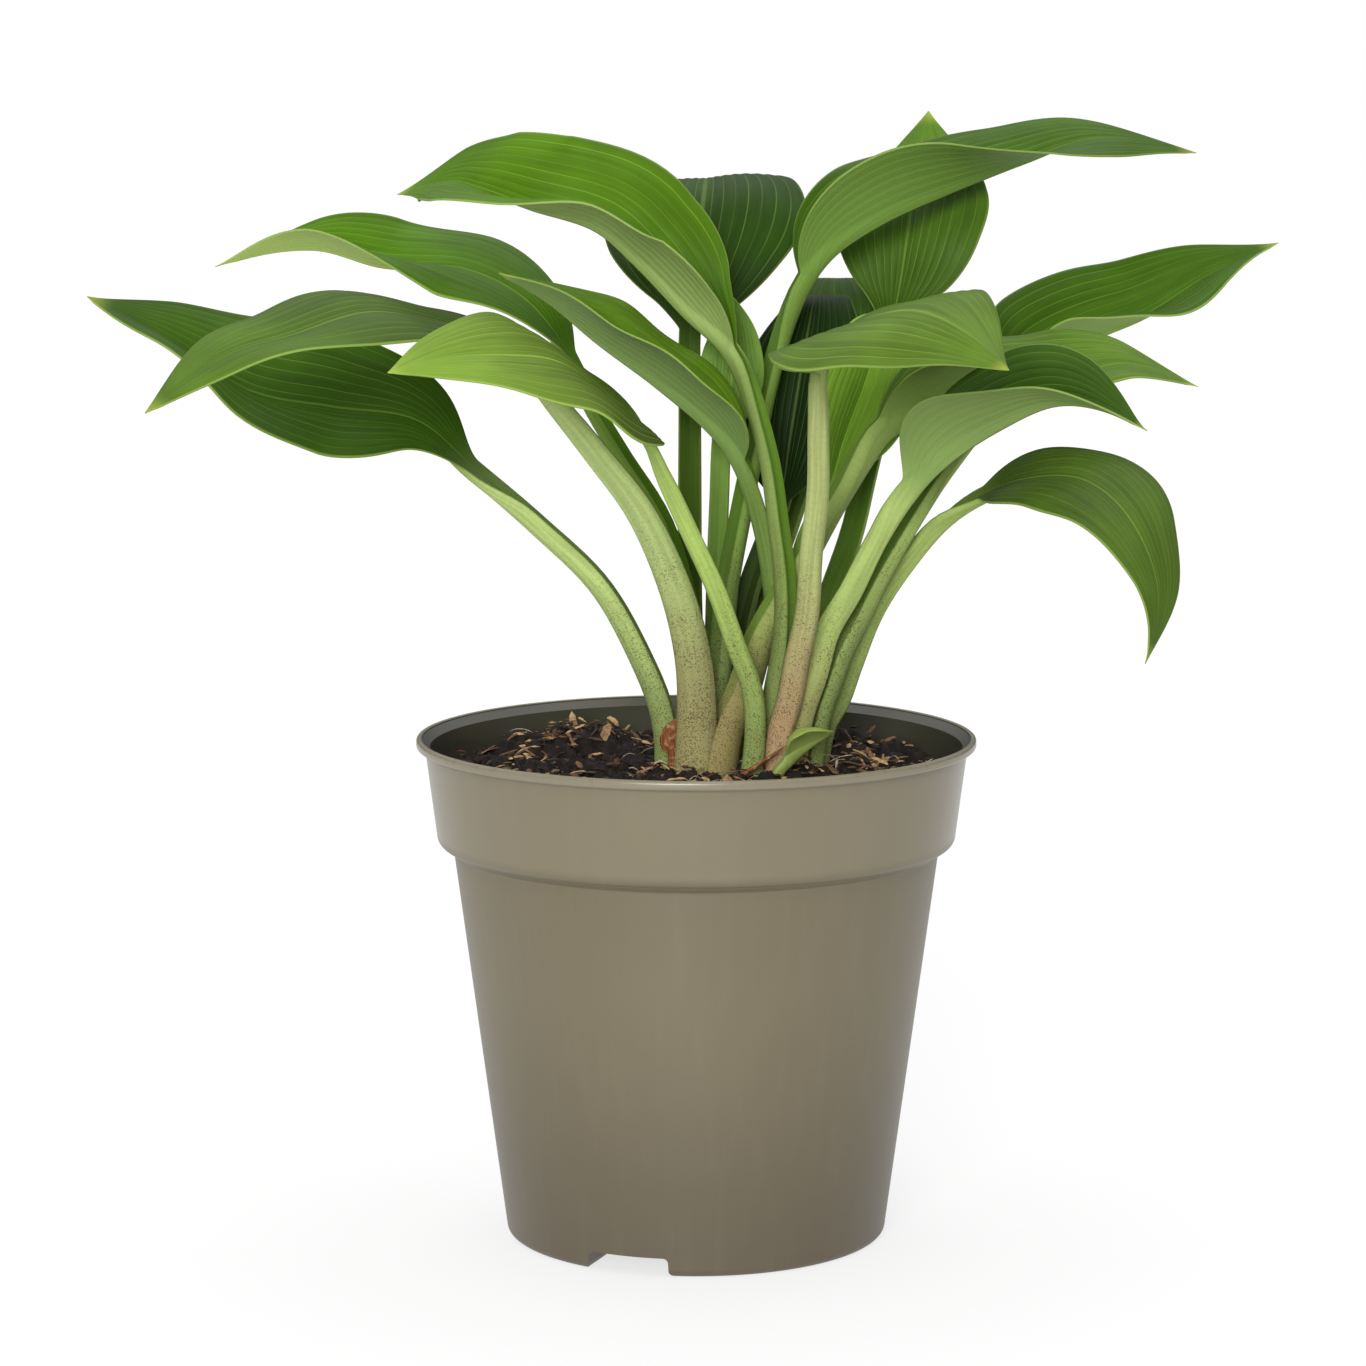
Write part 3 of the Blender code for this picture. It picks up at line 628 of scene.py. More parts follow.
def strew(name, heaps, each, spread, length, width, thickness, climb, bend, rise):
    """Strew heaps of debris; each pair of sizes is the least and what chance adds to it."""
    count = heaps * each
    radius = np.repeat(HEAP_REACH * np.sqrt(random.random(heaps)), each)
    angle = np.repeat(random.random(heaps) * 2.0 * np.pi, each)
    x = radius * np.cos(angle) + random.normal(0.0, spread, count)
    y = radius * np.sin(angle) + random.normal(0.0, spread, count)
    way = ways(random.random(count) * 2.0 * np.pi, np.abs(random.normal(0.0, climb, count)))
    long = length[0] + length[1] * random.random(count) ** 2
    lift = 0.3 * long * way[:, 2] + rise * random.random(count)
    centre = np.stack([x, y, soil_height(x, y) + lift], axis=1)
    furthest = np.abs(centre) + np.abs(way) * 0.5 * long[:, None]
    keep = np.hypot(furthest[:, 0], furthest[:, 1]) < DEBRIS_REACH
    sizes = [low + more * random.random(count) for low, more in (width, thickness, (0.0, bend))]
    jumps = random.uniform(-0.35, 0.35, (count, 5))
    shape = [v[keep] for v in (centre, way, long, *sizes, jumps)]
    print(name, "holds", int(keep.sum()))
    return add_spindles(name, random.random(count)[keep], *shape)


bark = strew("bark_flakes", 60, 16, 6.0, (2.4, 5.4), (0.9, 2.1), (0.35, 0.5), 0.34, 0.5, 1.3)
straws = strew("straws", 40, 9, 7.0, (3.0, 6.0), (0.4, 0.6), (0.3, 0.3), 0.25, 0.4, 1.4)
hairs = strew("root_hairs", 14, 9, 6.0, (4.0, 8.0), (0.2, 0.12), (0.2, 0.1), 0.35, 2.2, 1.0)

# %% Pieces that stand out
# Each row: where it stands, how high its middle is above the soil, its heading and climb in
# degrees, then its length, width, thickness and bend in mm, and its shade.
STANDING = np.array([
    (-39, 58, 2.8, 110, 72, 9.5, 2.6, 1.2, 0.4, 0.95),
    (-28, 32, 2.5, 60, 65, 8.5, 3.4, 2.0, 0.8, 0.80),
    (-26, 31, 4.5, 150, 30, 5.0, 2.2, 1.6, 0.6, 0.90),
    (-59, 8, 0.8, 20, 15, 6.0, 2.6, 1.6, 0.5, 0.55),
    (-52, 20, 1.2, -20, 20, 9.0, 1.6, 0.8, 0.8, 0.90),
    (-62, 26, 1.0, 10, 12, 10.0, 1.4, 0.8, 0.6, 0.85),
    (-45, 2, 1.0, -35, 18, 8.0, 1.8, 0.9, 0.8, 0.75),
    (-51, 36, 1.4, 35, 25, 9.0, 1.2, 0.8, 0.6, 0.90),
    (23, 2, 15.0, 80, 84, 15.0, 1.5, 0.4, 0.8, 0.35),
    (50, 22, 1.2, 160, 20, 8.0, 1.6, 0.8, 0.8, 0.85),
    (54, 40, 2.2, 30, 50, 8.0, 2.0, 1.0, 0.5, 0.60),
])
x, y, above, heading, climb, *sizes, shade = STANDING.T
where = np.stack([x, y, soil_height(x, y) + above], axis=1)
jumps = random.uniform(-0.15, 0.15, (len(STANDING), 5))
aim = ways(np.radians(heading), np.radians(climb))
standing = add_spindles("standing_splinters", shade, where, aim, *sizes, jumps)
print("standing splinters:", len(STANDING))

# %% The finish of bark and fibres
def bark_finish(name, dark, middle, light):
    """Each flake takes its own shade between three browns, with fine grain over it."""
    finish = Finish(name, Specular_IOR_Level=0.25)
    shade = finish.attribute("shade")
    grain = finish.noise(finish.place(), 900.0, 3.0, 0.6)
    colour = finish.layers(
        dark, (shade.rise(0.1, 0.6), middle), (shade.rise(0.6, 1.0), light),
        (grain.rise(0.45, 0.7) * 0.5, tint(34, 24, 18)),
    )
    finish.bump(grain, 0.0004, 0.6)
    return finish.coat(colour, 0.75)


BARK = bark_finish("composted_bark", tint(30, 20, 15), tint(98, 68, 46), tint(186, 150, 108))
HAIR = bark_finish("root_hair", tint(110, 90, 72), tint(170, 152, 130), tint(214, 200, 180))
for piece, skin in ((bark, BARK), (straws, BARK), (standing, BARK), (hairs, HAIR)):
    place(piece, "potting_soil", skin)

# %% [markdown]
# ## The crown
#
# The rootstock is a squat knobbly lump under the soil. Hardly any of it shows, but it is
# what carries every stalk, so it gets a real shape: a turned form whose radius swells and
# shrinks with the knobs.

# %% The crown's shape and finish
def make_crown():
    """A turned lump: the radius is scaled by 1 - knob, the knobs being sines of the angle."""
    low, high = (np.array(corner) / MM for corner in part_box("crown"))
    full = 0.5 * float(high[0] - low[0])
    profile = np.vstack([
        line((1.0, high[2] - 0.2), (full - 3.0, high[2] - 0.2), 10),
        arc((full - 3.0, high[2] - 3.2), 3.0, 90, 0),
        arc((full - 14.0, low[2] + 13.0), 14.0, 0, -75, 12),
        line((0.3 * full, low[2]), (1.0, low[2]), 4),
    ])

    def shift(grid):
        turn = np.arctan2(grid[..., 1] - CROWN_CENTRE[1], grid[..., 0] - CROWN_CENTRE[0])
        knob = 0.03 + 0.02 * np.sin(7 * turn + 0.4 * grid[..., 2]) + 0.01 * np.sin(17 * turn)
        grid[..., :2] -= (grid[..., :2] - CROWN_CENTRE) * knob[..., None]

    return turned("rootstock", profile, 96, CROWN_CENTRE, shift)


ROOTSTOCK = bark_finish("rootstock_skin", *3 * [tint(110, 86, 56)])
place(make_crown(), "crown_tissue", ROOTSTOCK, "crown")

# %% [markdown]
# ## The path of a leaf
#
# A leaf is drawn along one smooth line: up the stalk from the crown and on along the
# midrib to the tip. A few points say where that line goes. Between them a Hermite curve
# runs through every point, so moving one point bends the leaf only near it.

# %% Smooth lines through points
def smooth_through(points, knots):
    """A curve through points at knots, with the tangents that its cubic pieces need.

    The tangent at a point is that of the parabola through it and its two neighbours.
    """
    step = np.diff(knots)[:, None]
    slope = np.diff(points, axis=0) / step
    inside = (slope[1:] * step[:-1] + slope[:-1] * step[1:]) / (step[:-1] + step[1:])
    first = 2.0 * slope[0] - inside[0]
    last = 2.0 * slope[-1] - inside[-1]
    return points, knots, np.vstack([first, inside, last])


def smooth_path(points):
    """A curve through points, its knots the square root of each chord apart."""
    points = np.asarray(points, float)
    chord = np.linalg.norm(np.diff(points, axis=0), axis=1)
    return smooth_through(points, np.concatenate([[0.0], np.cumsum(np.sqrt(chord))]))


def along(path, u):
    """Points of a smooth path at knot values u, by cubic Hermite pieces."""
    points, knots, tangents = path
    i = np.clip(np.searchsorted(knots, u, side="right") - 1, 0, len(points) - 2)
    h = (knots[i + 1] - knots[i])[:, None]
    x = (u[:, None] - knots[i][:, None]) / h
    return ((2 * x**3 - 3 * x**2 + 1) * points[i] + (x**3 - 2 * x**2 + x) * h * tangents[i]
            + (3 * x**2 - 2 * x**3) * points[i + 1] + (x**3 - x**2) * h * tangents[i + 1])


def between(values, s):
    """Smooth values at s in 0..1, passing through equally spaced given values."""
    knots = np.linspace(0.0, 1.0, len(values))
    return along(smooth_through(np.array(values, float)[:, None], knots), s)[:, 0]


def unit(vectors):
    """Vectors scaled to length one."""
    return vectors / np.linalg.norm(vectors, axis=-1, keepdims=True)


print("halfway between 0, 10 and 0 the smooth value is", between((0, 10, 0), np.array([0.5]))[0])

# %% [markdown]
# ## The surface of a leaf
#
# Across the line, each half of the leaf leaves the midrib at its own angle, which changes
# along the blade: that is how a hosta leaf folds and curls. The columns of the grid follow
# the veins, which run side by side from the stalk and meet again at the tip, and every
# fourth column is a vein. Pushing the columns up and down between the veins gives the
# quilted ribs that no bump texture could show against the light.

# %% The fine grid of a leaf
STALK_RINGS = 30
BLADE_RINGS = 84
VEINS = 8                       # veins on each half of a blade
COLUMNS_PER_VEIN = 4
VEIN_SPREAD = 0.85              # below 1 the veins crowd towards the margin
CHANNEL_ANGLE = 32.0            # how far the rims of a stalk's channel stand up, in degrees
BULGE = 0.08                    # swelling of each half of a blade, as a share of its width
LEAF_THICKNESS = 0.6
SLOW_START = 0.03               # share of the blade over which it widens slowly at first
TIP_HALF = 0.3                  # half width left at the very tip
RIB_HEIGHT = 0.22               # height of the quilting between two veins, in mm
RIB_WIDTH = 40.0                # width from which a blade has quilting of that full height
WAVE_HEIGHT = 0.9               # height of the margin's waves on a blade of the next width
WAVE_WIDTH = 55.0
WAVE_TURN = 17.0                # how far the wave turns along a blade, in radians
STALK_FOOT = 139.3              # height at which every stalk starts on the crown
STALK_HALVES = (4.2, 3.0)       # half width of a stalk at its foot and at its top

vein_number = np.arange(VEINS * COLUMNS_PER_VEIN + 1) / COLUMNS_PER_VEIN
half_columns = (vein_number / VEINS) ** (1.0 / VEIN_SPREAD)
COLUMNS = np.concatenate([-half_columns[:0:-1], half_columns])
VEIN_COUNT = np.concatenate([vein_number[:0:-1], vein_number])
print("a leaf's grid has", len(COLUMNS), "columns, from", COLUMNS[0], "to", COLUMNS[-1])

# %% Where the rings of a leaf lie
def rings_along(stalk, total):
    """Distances along a leaf at which its rings lie: even on the stalk, closer at the tip."""
    even = np.linspace(0.0, 1.0, BLADE_RINGS)
    eased = 0.35 * even + 0.65 * (0.5 - 0.5 * np.cos(np.pi * even))
    on_stalk = np.arange(STALK_RINGS) / STALK_RINGS * stalk
    return np.concatenate([on_stalk, stalk + eased * (total - stalk)])


def leaf_line(foot, stem, blade, heading):
    """The line of a leaf: its rings, and at each the ways along, to the left and up."""
    nodes = [(*foot, STALK_FOOT), *stem, *blade]
    path = smooth_path(nodes)
    fine = np.linspace(0.0, path[1][-1], 400)
    run = np.linalg.norm(np.diff(along(path, fine), axis=0), axis=1)
    length = np.concatenate([[0.0], np.cumsum(run)])
    stalk = float(np.interp(path[1][1 + len(stem)], fine, length))
    here = rings_along(stalk, length[-1])

    def at(distance):
        return along(path, np.interp(np.clip(distance, 0.0, length[-1]), length, fine))

    ahead = unit(at(here + 0.5) - at(here - 0.5))
    if heading is None:
        forward = np.subtract(nodes[-1], nodes[0]) * (1.0, 1.0, 0.0)
    else:
        forward = np.array([np.cos(np.radians(heading)), np.sin(np.radians(heading)), 0.0])
    level = np.cross((0.0, 0.0, 1.0), unit(forward))
    aside = unit(level - (ahead @ level)[:, None] * ahead)
    return at(here), aside, np.cross(ahead, aside), here, stalk, length[-1]


print("the leaf's line has", STALK_RINGS + BLADE_RINGS, "rings")

# %% How wide a blade is
def blade_share(s, a, b):
    """The width at s as a share of the full width.

    It follows e^a (1 - s)^b, where e = s^2 / (s + slow start) grows slowly at first, so the
    stalk flares out into the blade without a corner.
    """
    def shape(at):
        return (at * at / (at + SLOW_START)) ** a * (1.0 - at) ** b

    return shape(s) / shape(np.linspace(0.0, 1.0, 201)).max()


print("a blade's width at a tenth, a half and nine tenths of its length:",
      blade_share(np.array([0.1, 0.5, 0.9]), 0.7, 1.15).round(2))

# %% The two faces of a leaf
def leaf_surfaces(foot, stem, blade, width, left, right, fullness=(0.7, 1.15),
                  heading=None, stalk_halves=STALK_HALVES, phase=0.0):
    """The upper and lower faces of a leaf, as grids of points, and how far along each is.

    Along the leaf, q goes from 0 to 1 up the stalk and then s from 0 to 1 up the blade. The
    half width is that of the stalk, easing into that of the blade. A point lies out from the
    midrib by its column's share of that half width, at the angle of its half, and up by the
    swell, the quilting and the waves of the margin. The lower face lies under the upper by
    the leaf's thickness and the depth of the stalk, which is round.
    """
    middle, aside, up, here, stalk, total = leaf_line(foot, stem, blade, heading)
    q = np.clip(here / stalk, 0.0, 1.0)
    s = np.clip((here - stalk) / (total - stalk), 0.0, 1.0)
    on_blade = here >= stalk - 1e-9
    low, high = stalk_halves
    rib = np.where(on_blade, high * (1 - s) ** 1.2, low + (high - low) * q**0.6) + TIP_HALF * q
    broad = blade_share(s, *fullness)[:, None]
    half = rib[:, None] * (1 - broad) + 0.5 * width * broad
    depth = np.where(on_blade, 0.8 * high * (1 - s) ** 2, low + (0.8 * high - low) * q)
    ease = np.clip((q - 0.8) / 0.2, 0.0, 1.0)
    ease = ease * ease * (3 - 2 * ease)
    skin = LEAF_THICKNESS * np.clip(half / 2.0, 0.0, 1.0)

    out = np.abs(COLUMNS)
    side = np.where(COLUMNS > 0, 1.0, -1.0)

    def lean(angles):
        rising = CHANNEL_ANGLE + (angles[0] - CHANNEL_ANGLE) * ease
        return np.where(on_blade, between(angles, s), rising)[:, None]

    angle = np.radians(np.where(COLUMNS > 0, lean(left), lean(right)))[..., None]
    a_way, n_way = aside[:, None], up[:, None]
    outwards = side[:, None] * np.cos(angle) * a_way + np.sin(angle) * n_way
    normal = -side[:, None] * np.sin(angle) * a_way + np.cos(angle) * n_way
    swell = BULGE * broad * half * np.sin(np.pi * out)
    quilt = (RIB_HEIGHT * np.clip(broad * width / RIB_WIDTH, 0, 1)
             * (0.5 - 0.5 * np.cos(2 * np.pi * VEIN_COUNT)))
    wave = WAVE_HEIGHT * broad * out**3 * np.sin(WAVE_TURN * s[:, None] + phase + 1.3 * side)
    lift = swell + quilt + wave * (width / WAVE_WIDTH)
    upper = middle[:, None] + outwards * (out * half)[..., None] + normal * lift[..., None]
    under = unit(normal * out[:, None] ** 0.5 + n_way * (1 - out[:, None] ** 0.5))
    round_part = np.sqrt(np.clip(1 - (out * half / rib[:, None]) ** 2, 0.0, 1.0))
    thick = depth[:, None] * round_part + skin
    return upper, upper - under * thick[..., None], q + s, half * COLUMNS, here


print("both faces of a leaf have", 2 * (STALK_RINGS + BLADE_RINGS) * len(COLUMNS), "points")

# %% Close the two faces into a skin
def make_leaf(name, plan):
    """Join the faces along their margins, and note on each point where on the leaf it is."""
    upper, lower, progress, reach, here = leaf_surfaces(**plan)
    rings = np.concatenate([upper, lower[:, ::-1]], axis=1)
    rings[0, :, 2] = STALK_FOOT
    count, around = rings.shape[:2]
    points = rings.reshape(-1, 3)
    j = np.arange(len(COLUMNS) - 1)
    strip = np.stack([j, j + 1, around - 2 - j, around - 1 - j], axis=1)
    foot, tip = strip[:, ::-1], strip + (count - 1) * around
    skin = facing_out(points, grid_faces(count, around), foot, tip)

    def both(row):
        return np.tile(np.concatenate([row, row[::-1]]), count)

    across_mm = np.concatenate([reach, reach[:, ::-1]], axis=1).ravel()
    run_mm = np.repeat(here, around)
    flat = np.stack([across_mm, run_mm, np.zeros_like(run_mm)], axis=1)
    under = np.tile(np.repeat([0.0, 1.0], len(COLUMNS)), count)
    return add_piece(name, points, *skin, progress=np.repeat(progress, around),
                     across=both(COLUMNS), vein=both(VEIN_COUNT), under=under, flat=flat)


print("each point of a leaf carries progress, across, vein, under and flat")

# %% [markdown]
# ## The finish of a leaf
#
# A hosta leaf is satin green above, with thin pale veins and a hair-thin pale margin, and
# duller and greyer beneath. The stalk is pale, peppered with purple-brown towards its
# foot. All of it follows the leaf, not the room, so the finish reads the attributes of
# the leaf's own points: how far along, how far across, the number of the vein, and which
# face it is.

# %% Veins, streaks and speckles
def leaf_finish(name, top, under, stalk, base, seed, shade, reach):
    """The finish of one leaf: colours of its upper face, lower face, stalk and stalk's base.

    Painted shade darkens the blade by `shade` at its start, where other leaves shade it, and
    fades out at `reach` along the leaf. The relief fades out at the tip, where the folds are tight.
    """
    def toned(colour, factor):
        return tuple(factor * c for c in colour)

    finish = Finish(name, Specular_IOR_Level=0.06)
    progress, across, vein, lower = map(finish.attribute, ("progress", "across", "vein", "under"))
    flat = finish.attribute("flat", 1)
    here = finish.place()
    out = abs(across)

    def along_leaf(sideways, lengthways, detail=3.0, roughness=0.5):
        where = finish.vector(across * sideways, progress * lengthways, seed)
        return finish.noise(where, 1.0, detail, roughness)

    from_vein = abs((vein + 0.5).math("FRACT") - 0.5)
    which = (vein + 0.5).math("FLOOR") * 5.3 + across.math("SIGN") * 2.1
    strength = finish.noise(finish.vector(which, progress * 1.6, seed), 1.0, 2.0).rise(0.3, 0.7)
    on_blade = progress.rise(1.0, 1.12) * progress.rise(1.98, 1.7)
    veins = from_vein.rise(0.07, 0.015) * on_blade * (strength * 0.8 + 0.2)
    midrib = out.rise(0.035, 0.008) * progress.rise(1.98, 1.5)
    vein_tone = tuple(1.7 * c + v for c, v in zip(top, tint(96, 112, 58)))
    streak = along_leaf(46.0, 6.0, roughness=0.6)
    upper = finish.layers(
        top,
        (streak.rise(0.3, 0.75) * 0.4, toned(top, 0.6)),
        (finish.noise(here, 38.0, 2.0).rise(0.4, 0.7) * 0.4, toned(top, 1.5)),
        (along_leaf(7.0, 2.5, 2.0).rise(0.45, 0.7) * 0.45, toned(top, 0.6)),
        # painted shade: the blade darkened towards its start, where the other leaves shade it
        (progress.rise(reach, 1.0) * shade, toned(top, 0.1)),
        ((veins + midrib).math("MINIMUM", 1.0) * 0.36, vein_tone),
    )
    lower_face = finish.layers(under, (streak.rise(0.3, 0.7) * 0.25, toned(under, 0.78)),
                               (veins * 0.3, toned(under, 0.66)))
    margin = out.rise(0.972, 0.992) * progress.rise(1.02, 1.12)
    blade = finish.layers(upper, (lower, lower_face),
                          (progress.rise(1.93, 2.0) * 0.5, tint(168, 178, 78)),
                          (margin * 0.3, tint(160, 184, 96)))

    fine = finish.noise(flat, 0.9, 3.0, 0.6)
    patches = finish.noise(here, 120.0, 1.0) * 0.2
    dots = finish.noise(here, 2000.0, 2.0, 0.6) + progress.rise(0.8, 0.05) * 0.07 + patches
    stem = finish.layers(
        stalk,
        (along_leaf(5.0, 4.0).rise(0.35, 0.65) * 0.5, toned(stalk, 0.55)),
        (fine.rise(0.4, 0.75) * 0.3, toned(stalk, 0.6)),
        (progress.rise(0.6, 0.08) * 0.8, base),
        (dots.rise(0.68, 0.79) * progress.rise(0.8, 0.35) * 0.7, tint(82, 58, 42)),
        ((1.0 - lower) * progress.rise(0.1, 0.5) * 0.75, top),      # the channel
    )

    furrow = from_vein.rise(0.0, 0.12) * progress.rise(1.0, 1.1)
    relief = (furrow + streak) * progress.rise(2.0, 1.6)
    finish.bump(relief * 0.3 + fine * 0.12, 0.0005, 0.5)
    colour = finish.mix(progress.rise(0.9, 1.1), stem, blade)
    return finish.coat(colour, lower * 0.12 + 0.4 + streak * 0.08)


print("leaf finishes read what each point carries")

# %% [markdown]
# ## The plan of the plant
#
# Each leaf has a plan: where its stalk stands on the crown, the points that its stalk and
# its midrib pass through, the width of the blade, and how far its left and right halves
# lean above the level at equal steps along it, in degrees.

# %% The leaves, in mm and degrees
LEAVES = {
    "leaf_left_low": dict(
        foot=(-8, 3), width=58, left=(-20, -30, 0, -15), right=(30, 60, 45, 15), fullness=(1.1, 1.15),
        stalk_halves=(4.6, 3.8),
        stem=[(-9, 3, 159), (-17, 6, 179), (-29, 9, 199), (-48, 12, 217)],
        blade=[(-68, 14, 234), (-85, 15, 248), (-111, 16, 252), (-136, 14, 257), (-163, 12, 275),
               (-184, 10, 286)]),
    "leaf_left_front": dict(
        foot=(0, -8), width=53, left=(-5, -15, -5, -25), right=(20, 10, 15, 10), fullness=(0.7, 1.15),
        stalk_halves=(7.4, 3.3),
        stem=[(1, -8, 162), (0, -10, 178), (-5, -14, 199), (-16, -19, 224), (-30, -24, 243),
              (-44, -29, 261)],
        blade=[(-53, -34, 274), (-74, -42, 281), (-94, -52, 285), (-116, -65, 279), (-134, -76, 274),
               (-155, -88, 259)]),
    "leaf_left_back": dict(
        foot=(-1, 8), width=55, left=(10, -10, 25, 45), right=(20, 15, 40, 25), fullness=(1.0, 1.6),
        stem=[(1, 9, 169), (-2, 10, 191), (-10, 17, 217), (-23, 25, 237), (-33, 33, 253)],
        blade=[(-39, 38, 266), (-53, 44, 283), (-72, 50, 292), (-98, 56, 293), (-120, 60, 298),
               (-151, 64, 292)]),
    "leaf_left_inner": dict(
        foot=(22, 4), width=51, left=(30, 20, 20, 30), right=(60, 35, 40, 15),
        stem=[(26, 8, 175), (24, 9, 197), (20, 8, 218)],
        blade=[(13, 5, 237), (6, 3, 246), (-11, 0, 260), (-29, -3, 273), (-45, -6, 286),
               (-59, -8, 294)]),
    "leaf_front_left": dict(
        foot=(16, -14), width=54, left=(-15, -30, -30, -35), right=(35, 20, 35, 15),
        fullness=(0.4, 1.1), stalk_halves=(3.4, 2.6),
        stem=[(18, -15, 156), (17, -16, 170), (12, -19, 184), (6, -23, 201), (-2, -28, 219),
              (-9, -34, 235)],
        blade=[(-14, -40, 248), (-24, -48, 258), (-39, -60, 271), (-54, -71, 274), (-72, -84, 274),
               (-86, -96, 271)]),
    "leaf_left_high": dict(
        foot=(21, -5), width=58, left=(65, 35, -12, -35), right=(100, 45, 60, 25),
        fullness=(0.75, 1.25),
        stem=[(24, -6, 165), (27, -7, 184), (27, -7, 202), (25, -5, 218), (22, -1, 238), (17, 3, 255)],
        blade=[(10, 5, 270), (-3, 5, 282), (-18, 4, 297), (-30, 4, 307), (-50, 8, 313), (-65, 20, 318),
               (-76, 36, 320), (-93, 56, 315)]),
    "leaf_back_broad": dict(
        foot=(1, 18), width=64, left=(30, -10, -10, -5), right=(10, 0, 0, -5), fullness=(0.9, 1.2),
        stem=[(-1, 18, 162), (-2, 19, 193), (-2, 22, 223), (-2, 25, 250)],
        blade=[(-2, 30, 274), (-1, 34, 283), (0, 40, 297), (2, 52, 312), (3, 71, 319), (3, 88, 317),
               (4, 100, 307)]),
    "leaf_right_high": dict(
        foot=(6, 1), width=53, left=(80, 30, 25, 10), right=(90, 46, -8, -42), fullness=(0.6, 1.15),
        stem=[(5, 2, 163), (7, 4, 176), (9, 8, 197), (13, 14, 218), (18, 22, 241), (23, 30, 262),
              (29, 34, 280)],
        blade=[(34, 36, 290), (42, 39, 299), (57, 43, 308), (77, 52, 316), (102, 62, 325),
               (126, 74, 332), (159, 90, 327)]),
    "leaf_front_right": dict(
        foot=(25, -14), width=59, left=(35, 5, 15, -30), right=(0, -28, -46, -50), fullness=(0.3, 1.0),
        stem=[(25, -14, 156), (28, -15, 167), (30, -17, 179), (33, -20, 194), (34, -23, 211),
              (36, -26, 231), (36, -28, 250)],
        blade=[(36, -32, 267), (41, -38, 277), (51, -53, 284), (66, -72, 286), (87, -98, 272)]),
    "leaf_middle_dark": dict(
        foot=(11, 9), width=40, left=(15, -5, -10, -10), right=(15, 0, 0, -5),
        stem=[(9, 11, 163), (13, 14, 184), (17, 18, 199), (22, 22, 212)],
        blade=[(26, 26, 223), (29, 31, 241), (32, 37, 259), (35, 46, 275), (37, 57, 283),
               (38, 74, 280)]),
    "leaf_back_upright": dict(
        foot=(18, 18), width=50, left=(35, 5, -30, -40), right=(20, 15, 5, 0), fullness=(1.2, 1.15),
        heading=85,
        stem=[(29, 21, 164), (37, 23, 181), (42, 26, 195), (48, 30, 212), (52, 35, 228), (57, 41, 249)],
        blade=[(60, 50, 272), (63, 60, 283), (66, 64, 301), (68, 76, 315), (71, 88, 329),
               (74, 96, 340)]),
    "leaf_right_back": dict(
        foot=(34, -1), width=53, left=(75, 45, 45, 20), right=(45, 25, 0, 10), fullness=(0.55, 1.15),
        stem=[(37, -2, 161), (40, -3, 170), (43, -3, 179), (48, -3, 189), (55, -2, 203), (71, 8, 228),
              (85, 26, 244)],
        blade=[(95, 44, 256), (109, 56, 264), (126, 63, 271), (142, 68, 277), (163, 73, 290),
               (184, 77, 299)]),
    "leaf_right_middle": dict(
        foot=(5, -9), width=52, left=(80, 30, 35, 0), right=(80, 25, -5, -30), fullness=(0.8, 1.3),
        stalk_halves=(6.8, 3.9),
        stem=[(8, -8, 157), (13, -5, 168), (18, -1, 183), (27, 2, 199), (40, 4, 222), (49, 5, 236)],
        blade=[(57, 8, 246), (71, 11, 252), (89, 14, 259), (111, 16, 261), (131, 18, 265),
               (153, 20, 258)]),
    "leaf_right_front": dict(
        foot=(28, -5), width=50, left=(60, 55, 60, 40), right=(90, 35, 20, 20), fullness=(0.95, 1.6),
        stalk_halves=(5.4, 3.4),
        stem=[(30, -7, 159), (35, -8, 174), (39, -7, 187), (46, -8, 199), (54, -10, 215)],
        blade=[(64, -13, 230), (74, -19, 240), (89, -27, 250), (104, -34, 257), (116, -43, 257),
               (130, -54, 251)]),
    "leaf_right_drooping": dict(
        foot=(36, 9), width=44, left=(50, 15, 5, 0), right=(-15, -20, -10, 5), fullness=(0.8, 1.4),
        stem=[(39, 9, 156), (43, 9, 163), (47, 9, 174), (54, 9, 191), (64, 9, 206), (75, 6, 219)],
        blade=[(86, 0, 227), (99, -12, 233), (114, -25, 234), (126, -39, 225), (134, -52, 205),
               (130, -60, 184)]),
    "leaf_middle_small": dict(
        foot=(9, 17), width=20, left=(10, 10, 10), right=(10, 10, 10), heading=90,
        stalk_halves=(3.2, 2.6),
        stem=[(6, 18, 165), (6, 19, 193), (7, 20, 223)],
        blade=[(8, 22, 245), (10, 23, 255), (11, 24, 266), (11, 23, 277), (9, 23, 287)]),
    "leaf_middle_right": dict(
        foot=(28, 12), width=35, left=(40, 50, 50, 40), right=(10, 10, 10, 0), fullness=(0.8, 0.8),
        heading=90,
        stem=[(32, 12, 169), (31, 12, 190), (33, 12, 209), (37, 13, 219)],
        blade=[(41, 15, 229), (45, 19, 242), (50, 24, 255), (56, 31, 269), (64, 37, 276)]),
    "leaf_back_low": dict(
        foot=(11, 25), width=40, left=(10, -5, -5), right=(10, -5, -5),
        stem=[(13, 26, 164), (20, 33, 191), (29, 44, 214), (37, 57, 238)],
        blade=[(42, 70, 256), (44, 77, 271), (44, 84, 282), (44, 93, 287), (44, 101, 283)]),
    "young_shoot": dict(
        foot=(21, -22), width=14, left=(55, 50, 45), right=(55, 50, 45), stalk_halves=(2.4, 1.9),
        stem=[(24, -22, 146)],
        blade=[(28, -22, 150), (34, -22, 154), (41, -21, 158)]),
}
print("the plant has", len(LEAVES) - 1, "leaves and a young shoot")
